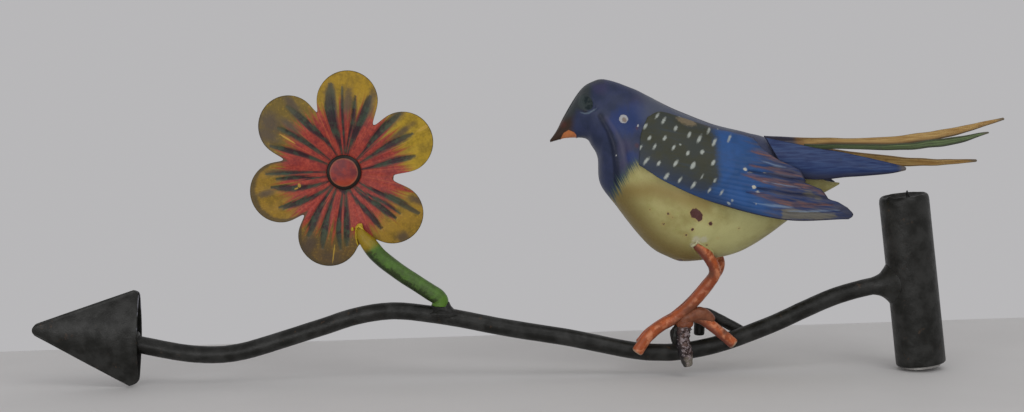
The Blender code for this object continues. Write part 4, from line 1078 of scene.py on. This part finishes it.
def make_centre():
    dome = [(max(PETAL_HUB_RADIUS * math.sin(a), 0.05), 1.6 * math.cos(a))
            for a in np.linspace(0, math.pi / 2, 26)]
    grid, faces = revolve([*dome, (8.9, -0.5), (8.6, -0.9), (4, -0.9), (0.05, -0.9)], 96)
    disc_radius = np.hypot(grid[..., 0], grid[..., 1])
    step = np.clip((disc_radius - 7.0) / 0.5, 0, 1) * (grid[..., 2] > -0.2)
    height = grid[..., 2] - 0.35 * step + 0.1 * wobble(grid, 4)
    seat = on_flower(np.array([PETAL_HUB_RADIUS]), np.array([0.0]))[0, 1] - 0.95 - 0.9
    disc = np.stack([FLOWER_CENTRE[0] + grid[..., 0], seat - height, FLOWER_CENTRE[2] + grid[..., 1]], -1)
    fields = {"radius": disc_radius, "low": -grid[..., 1]}
    add_piece("centre_disc", disc, faces, "red_paint", ["flower_centre"], fields, sharp=60)


def make_stem():
    add_bar("stem_bar", STEM_ROUTE, STEM_RADIUS, "stem_green_paint", ["flower_stem"], sides=40, spacing=0.6,
            rounding=0.6, swell=uneven(7, (0.03, 8), (0.015, 2.5)))
    points, faces = lump((-278.2, 0.5, 104.4), (2.1, 1.4, 3.6), 12, 1.5)
    add_piece("braze_lump", points, faces, "ochre_paint", ["stem_flower_braze"])
    for name, route, radius in (("braze_arch", BRAZE_ARCH, 0.62), ("braze_dribble", BRAZE_DRIBBLE, 0.6),
                                ("braze_drop", BRAZE_DROP, 0.7)):
        add_bar(name, route, radius, "ochre_paint", sides=14, spacing=0.2, rounding=0.25)

    # a fillet drawn out along the arm, more so on the right
    fillet = [(4.1, 2.6), (4.4, 2.3), (4.9, 1.2), (5.7, -0.1), (6.8, -1.3), (8.4, -2.5), (10.0, -3.4)]
    profile = [*curve_at(fillet, np.linspace(0, 1, 24)), (8.0, -5.2), (4.1, -5.0), (3.9, -1.0)]
    grid, faces = revolve(profile, 72, closed=True)
    grid[..., :2] *= (1 + 0.05 * wobble(grid, 2.6, 2))[..., None]
    grid[..., 2] += 0.25 * wobble(grid, 1.8, 6)
    reach = np.hypot(grid[..., 0], grid[..., 1])
    rightward = grid[..., 0] / reach
    grid[..., 0] += rightward * np.clip(reach - 4.1, 0, None) * np.where(rightward > 0, 0.35, -0.5)
    grid[..., 2] -= np.where(rightward < 0, 0.9 * -rightward, 0)
    weld = turned_about_y(grid * (1, 0.62, 1), 14) + (-242.0, 0.0, 60.6)
    add_piece("stem_weld", weld, faces, "black_paint", ["stem_arm_weld"])


# ---- bird --------------------------------------------------------------------
def body_rings(side, inset):
    """Points of half the body's skin, beak to vent by top to bottom."""
    flat = [[*top, *low, width] for top, low, width in BIRD_SECTIONS]
    sections = curve_at(flat, np.linspace(0, 1, 200))
    top, low, width = sections[:, 0:2], sections[:, 2:4], sections[:, 4]
    middle, half = (top + low) / 2, (top - low) / 2
    length = np.linalg.norm(half, axis=1)
    skin = np.minimum.reduce([np.full_like(width, inset), 0.4 * width, 0.4 * length])
    half = half * ((length - skin) / length)[:, None]
    a = math.pi * np.linspace(0, 1, 116)
    side_view = middle[:, None] + half[:, None] * np.cos(a)[None, :, None]
    out = FIT / 2 + (width - skin)[:, None] * np.clip(np.sin(a), 0, 1)[None, :] ** SECTION_ROUNDNESS
    return np.stack([side_view[..., 0], side * out, side_view[..., 1]], -1)


def body_fields(points):
    x, y, z = np.moveaxis(points, -1, 0)
    return {
        "belly": in_outline(x, z, BELLY_OUTLINE),
        "face": in_outline(x, z, FACE_OUTLINE),
        "beak": 149 - z,
        "orange": in_outline(x, z, ORANGE_OUTLINE),
        "eye": in_oval(x, z, EYE),
        "eye_ring": in_oval(x, z, EYE_RING),
        "lid": in_stroke(x, z, EYELID, 0.55),
        "bright": glow(x, z, BRIGHT_SPOTS),
        "purple": glow(x, z, PURPLE_SPOTS),
        "belly_light": glow(x, z, BELLY_PALE_AND_LIT_SPOTS),
        "back": x + 131,
        "rump": np.minimum(x + 84, 8),
        "feather": np.clip((-118 - x) / 8, 0, 1),
        "leg_root": glow(x, z, LEG_ROOT_SMEAR),
        "rusty": glow(x, z, RUSTY_SPOTS),
        "crease": 1.5 - near_line(x, z, CREASE)[0],
        "ridge": 1.2 - near_line(x, z, CREASE_RIDGE)[0],
        "strand": 0.94 * x + 0.33 * z,
        "seam": np.abs(y),
        "warm": np.clip(1 - near_line(x, z, BELLY_WARM)[0] / 9, 0, 1),
        "brown": np.clip(1.15 - near_line(x, z, BELLY_SHADE_LINE)[0] / 13, 0, 1),
        "pale_chip": np.maximum(in_oval(x, z, HEAD_CHIP), in_ovals(x, z, HEAD_SPECKS, DOT_LEAN, 0.7)),
        "chip_core": in_oval(x, z, HEAD_CHIP_CORE),
        "chip": np.maximum(in_outline(x, z, BELLY_CHIP), in_ovals(x, z, BELLY_SPECKS, 0)),
    }


def make_body_half(name, node, side):
    outer, inner = body_rings(side, 0.0), body_rings(side, BODY_WALL)
    fields = body_fields(outer)
    x, y, z = np.moveaxis(outer, -1, 0)
    crease, along = near_line(x, z, CREASE)
    ridge, lid = near_line(x, z, CREASE_RIDGE)[0], near_line(x, z, EYELID)[0]
    fade = np.sin(math.pi * np.clip(along, 0.05, 0.95)) ** 0.5
    eye = np.clip(fields["eye"] / 2.0, 0, 1)
    raise_by = (-0.8 * fade * np.exp(-(crease / 1.7) ** 2) + 0.5 * fade * np.exp(-(ridge / 2.0) ** 2)
                + 0.7 * np.sqrt(eye) - 0.35 * np.exp(-((fields["eye"] + 0.5) / 0.6) ** 2)
                + 0.35 * np.exp(-(lid / 0.6) ** 2) + 0.3 * np.exp(-((np.abs(y) - 0.3) / 0.9) ** 2)
                - 0.3 * np.exp(-(fields["orange"] / 0.45) ** 2) - 0.15 * np.clip(fields["chip"], 0, 0.6)
                + 0.35 * wobble(outer, 22, side * 5.0) + 0.12 * wobble(outer, 7, side))
    for run in run_lengths(outer, 0):
        raise_by *= np.clip(run / 8, 0, 1)
    normal = grid_normals(outer) * -side
    normal[..., 1] *= np.clip(np.abs(y), 0, 1)
    outer = outer + normal * raise_by[..., None]
    outer[..., 1] = side * np.maximum(side * outer[..., 1], FIT / 2)

    first = np.arange(x.size).reshape(x.shape)
    second = first + x.size
    skin = grid_faces(first)
    faces = skin + grid_faces(second)
    for edge in (np.s_[:, 0], np.s_[:, -1], np.s_[0], np.s_[-1]):
        faces += grid_faces(np.stack([first[edge], second[edge]]))
    points = np.vstack([outer.reshape(-1, 3), inner.reshape(-1, 3)])
    fields = {key: np.tile(value.ravel(), 2) for key, value in fields.items()}
    add_piece(name, points, faces, "bird_body_paint", [node], fields)

    tree = BVHTree.FromPolygons(outer.reshape(-1, 3).tolist(), skin)
    if tree.find_nearest(Vector(outer[x.shape[0] // 2, x.shape[1] // 2]))[1].y * side < 0:
        tree = BVHTree.FromPolygons(outer.reshape(-1, 3).tolist(), [face[::-1] for face in skin])
    return tree


def keep_off(grid, tree):
    """Lifts a sheet's middle points off the body, so that it clears it by SHEET_GAP."""
    lifted = []
    for point in grid.reshape(-1, 3):
        place, normal = tree.find_nearest(Vector(point))[:2]
        offset = Vector(point) - place
        inside = offset.dot(normal) < -0.5 * offset.length
        clear = offset.length >= SHEET_GAP and not inside
        lifted.append(point if clear else np.array(place + normal * SHEET_GAP))
    return np.array(lifted).reshape(grid.shape)


def make_wing(name, node, side, tree, lift):
    down, along = edged_steps(120, 45), edged_steps(210, 105)
    sheet = cage_at(WING_CAGE, down, along)
    x, z = sheet[..., 0], sheet[..., 1]
    v, u = down[:, None] * np.ones_like(x), along[None, :] * np.ones_like(x)
    edge_x, edge_z = zip(*REAR_EDGE)
    to_edge = np.interp(z[:, -1], edge_z, edge_x) - x[:, -1]
    x = x + to_edge[:, None] * np.clip((u - 0.72) / 0.28, 0, 1) ** 2

    # the brown strokes, and the painted highlights beside them
    brown, light = in_strokes(x, z, BROWN_FLUTES), in_strokes(x, z, HIGHLIGHT_FLUTES)
    grow = np.clip((u - 0.45) / 0.15, 0, 1) * np.clip(run_lengths(sheet, 1)[1] / 4, 0, 1)
    grooves = (-0.75 * np.exp(-(np.clip(0.8 - brown, 0, None) / 1.2) ** 2)
               + 0.45 * np.clip(light + 0.8, 0, 0.8))
    lobes = most(0.9 - near_line(x, z, line)[0] for line in LOBE_GROOVES)
    grooves = grooves - 0.9 * np.exp(-(np.clip(0.9 - lobes, 0, None) / 1.1) ** 2)
    hair = 0.14 * np.sin(v * 95 + 2.5 * wobble(np.stack([x, v * 20, z], -1), 18)) * grow
    out = sheet[..., 2] + grooves * grow + hair + 0.25 * wobble(np.stack([x, x * 0, z], -1), 12)
    middle = keep_off(np.stack([x, side * out, z + lift * v * u ** 2], -1), tree)
    from_top, from_bottom = run_lengths(middle, 0)
    add_sheet(name, middle, WING_THICKNESS, "wing_paint", [node], {
        "olive": in_outline(x, z, OLIVE_OUTLINE),
        "olive_low": 9 - from_bottom,
        "dots": in_ovals(x, z, WING_DOTS, DOT_LEAN, DOT_WIDTH, DOT_LENGTH),
        "glint": in_ovals(x, z, WING_GLINTS, -20),
        "tan": in_stroke(x, z, TAN_WORN, 2.0),
        "brown": brown,
        "light": light,
        "worn": np.maximum(in_outline(x, z, WORN_FEATHER), in_ovals(x, z, WORN_SPOTS, -25)),
        "lobes": np.where(grow > 0, lobes, -9.0),
        "behind": np.clip((x + 104) / 8, 0, 1),
        "rear": x + 80 + 4 * (1 - v),
        "low_navy": 5 - from_bottom + np.clip((-88 - x) / 6, -6, 3),
        "edge_top": from_top,
        "rim": edge_distance(middle),
    })


def make_feather(name, node, cage, side, slot, tree, keel):
    """A long tail feather, creased along its middle and a little uneven."""
    down, along = edged_steps(34, 10), edged_steps(170, 110)
    sheet = cage_at(cage, down, along)
    v, u = down[:, None] * np.ones(sheet.shape[:2]), along[None, :]
    taper = np.clip(run_lengths(sheet, 1)[1] / 12, 0, 1)
    out = sheet[..., 2] + taper * (keel * (1 - np.abs(2 * v - 1)) + 0.2 * np.sin(v * 22) * u)
    middle = np.stack([sheet[..., 0], side * out, sheet[..., 1]], -1)
    middle[..., 2] += taper * 0.35 * wobble(middle * (1, 0, 0), 9, keel)
    middle = keep_off(middle, tree)
    from_root, from_tip = run_lengths(middle, 1)
    fields = {"low": v, "rim": edge_distance(middle), "root": from_root, "tip": from_tip}
    add_sheet(name, middle, FEATHER_THICKNESS, slot, [node], fields)


def make_bird():
    trees = {LEFT: make_body_half("body_left", "bird_body_left", LEFT),
             RIGHT: make_body_half("body_right", "bird_body_right", RIGHT)}
    make_wing("wing_sheet_left", "wing_left", LEFT, trees[LEFT], 0.0)
    make_wing("wing_sheet_right", "wing_right", RIGHT, trees[RIGHT], FAR_WING_LIFT)
    for name, node, cage, side, slot, keel in (
            ("blade_left", "tail_blade_left", BLADE_NEAR_CAGE, LEFT, "tail_blue_paint", 0.5),
            ("blade_right", "tail_blade_right", BLADE_FAR_CAGE, RIGHT, "tail_tan_paint", 0.6),
            ("streamer_upper", "tail_streamer_upper", STREAMER_UPPER_CAGE, RIGHT, "tail_tan_paint", 0.7),
            ("streamer_under", "tail_streamer_under", STREAMER_UNDER_CAGE, LEFT, "tail_green_paint", 0.4)):
        make_feather(name, node, cage, side, slot, trees[side], keel)
    return trees


def leg_bruises(points):
    return {"bruise": glow(points[:, 0], points[:, 2], LEG_BRUISES)}


def make_legs():
    knobbly, pitted = uneven(5, (0.05, 5), (0.025, 2)), uneven(6, (0.1, 3.5), (0.05, 1.3))

    def ribbed(along, angle):
        ribs = 0.07 * np.sin(along * 2.1 + angle) * np.clip((17 - along) / 3, 0, 1)
        chamfer = -0.28 * np.clip((along - 16.5) / 4, 0, 1)
        return ribs + chamfer + pitted(along, angle)

    leg, toe = LEG_RADIUS, TOE_RADIUS
    orange, rust, black = "leg_orange_paint", "rusty_iron", "black_paint"
    for name, node, route, radius, slot, swell in (
            ("leg_wire_left", "leg_left", LEG_LEFT_ROUTE, leg, orange, knobbly),
            ("leg_wire_right", "leg_right", LEG_RIGHT_ROUTE, leg, orange, knobbly),
            ("hind_toe_left", "toe_left_hind", TOE_LEFT_HIND_ROUTE, toe, orange, knobbly),
            ("front_toe_left", "toe_left_front", TOE_LEFT_FRONT_ROUTE, RUSTY_TOE_RADIUS, rust, ribbed),
            ("hind_toe_right", "toe_right_hind", TOE_RIGHT_HIND_ROUTE, toe, black, knobbly),
            ("front_toe_right", "toe_right_front", TOE_RIGHT_FRONT_ROUTE, toe, black, knobbly)):
        add_bar(name, route, radius, slot, [node], leg_bruises,
                sides=32, spacing=0.5, rounding=1.0, swell=swell)
    add_bar("toe_weld_left", TOE_WEB, 3.6, orange, sides=32, spacing=0.5, rounding=1.6, swell=knobbly,
            marks=lambda points: {"bruise": np.ones(len(points)), "end": np.full(len(points), FAR_FROM_END)})
    for name, centre, size, lean, slot in (
            ("toe_weld_low", (-119.4, -8.2, 37.4), (4.2, 3.6, 3.4), 20, orange),
            ("toe_weld_dark", (-124.4, -6.8, 31.4), (2.7, 2.5, 5.6), 8, black),
            ("toe_weld_right", (-111.6, 7.6, 38.0), (6.6, 2.9, 3.6), 14, black)):
        points, faces = lump(centre, size, lean, size[0])
        fields = {"end": np.full(len(points), FAR_FROM_END), **leg_bruises(points)}
        add_piece(name, points, faces, slot, fields=fields)


def make_collars(trees):
    """A bead of solder where each leg enters the belly."""
    for name, route, side in (("leg_collar_left", LEG_LEFT_ROUTE, LEFT),
                              ("leg_collar_right", LEG_RIGHT_ROUTE, RIGHT)):
        start, way = Vector(route[0]), (Vector(route[2]) - Vector(route[0])).normalized()
        spread = way.cross(Vector((0, 1, 0))).normalized()
        rise = way.cross(spread)
        ring = []
        for a in np.linspace(0, 2 * math.pi, 48, endpoint=False):
            edge = start + (spread * math.cos(a) + rise * math.sin(a)) * (LEG_RADIUS + 0.2)
            ring.append(trees[side].ray_cast(edge - way * 6, way)[0] or edge)
        points, faces = bead(ring, 0.6, side * 3.0)
        add_piece(name, points, faces, "bird_body_paint", fields=body_fields(points))


# ---- camera, floor and light ---------------------------------------------------
def make_camera():
    """Looks a little down on the vane, rolled as the leaning vane was seen."""
    ahead = Vector((0, math.cos(CAMERA_DROP), -math.sin(CAMERA_DROP)))
    level = Vector((1, 0, 0))
    right = level * math.cos(CAMERA_ROLL) - level.cross(ahead) * math.sin(CAMERA_ROLL)
    up = right.cross(ahead)
    camera = add_object("camera", bpy.data.cameras.new("camera"))
    turn = Matrix((right, up, -ahead)).transposed().to_4x4()
    camera.matrix_world = Matrix.Translation(AIM - ahead * CAMERA_DISTANCE) @ turn
    camera.data.lens = CAMERA_LENS
    camera.data.clip_start = 0.05
    bpy.context.scene.camera = camera


def make_floor():
    """Slants up under the arrowhead, so that the vane stands on its two low points."""
    under_sleeve, under_head = (-0.0098, -0.0004), (-0.4056, 0.0402)
    slope = (under_head[1] - under_sleeve[1]) / (under_head[0] - under_sleeve[0])
    corners = [(-1.3, -1.5), (1.0, -1.5), (1.0, 0.206), (-1.3, 0.068)]
    points = [(x, y, under_sleeve[1] + slope * (x - under_sleeve[0])) for x, y in corners]
    data = bpy.data.meshes.new("floor")
    data.from_pydata(points, [], [(0, 1, 2, 3)])
    p = Paint("pale_floor")
    colour = p.mix(p.noise(60, 2), (0.64, 0.63, 0.62, 1), (0.70, 0.69, 0.68, 1))
    p.finish(colour, (p.noise(40, 2), 0.1, 0.7), p.noise(3, 2), 0.1)
    data.materials.append(PAINTS["pale_floor"])
    floor = add_object("floor", data)


def make_light():
    world = bpy.data.worlds.new("studio")
    world.use_nodes = True
    background = world.node_tree.nodes["Background"]
    background.inputs["Color"].default_value = (0.99, 0.98, 1.0, 1)
    background.inputs["Strength"].default_value = PALE
    bpy.context.scene.world = world
    for name, place, size, power in (("key", (0.5, -0.9, 1.1), 0.8, 3.5),
                                     ("fill", (-0.7, -1.3, 0.2), 1.2, 9)):
        light = bpy.data.lights.new(name, "AREA")
        light.size = size
        light.energy = power
        lamp = add_object(name, light)
        lamp.location = place
        lamp.rotation_euler = (AIM - Vector(place)).to_track_quat("-Z", "Y").to_euler()


def make_paints():
    for paint in (black_paint, bare_steel, rusty_iron, leg_orange, stem_green, ochre_paint, petal_paint,
                  hub_paint, bird_body_paint, wing_paint):
        paint()
    feather_paint("tail_blue_paint", (46, 54, 84), (60, 74, 106), (62, 66, 74), (46, 44, 50), 0.70)
    feather_paint("tail_tan_paint", (138, 108, 68), (164, 138, 92), (118, 92, 66), (82, 68, 54), 0.62,
                  root=(62, 66, 82))
    feather_paint("tail_green_paint", (82, 92, 70), (98, 112, 80), (84, 88, 74), (58, 58, 54), 0.6)


def main():
    make_camera()
    make_floor()
    make_light()
    bpy.context.scene.view_settings.view_transform = "Standard"
    make_paints()
    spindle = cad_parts["pivot_spindle"].data
    spindle.materials.clear()
    spindle.materials.append(PAINTS["bare_steel"])
    make_sleeve()
    make_arm()
    make_arrowhead()
    make_petals()
    make_centre()
    make_stem()
    trees = make_bird()
    make_legs()
    make_collars(trees)


main()
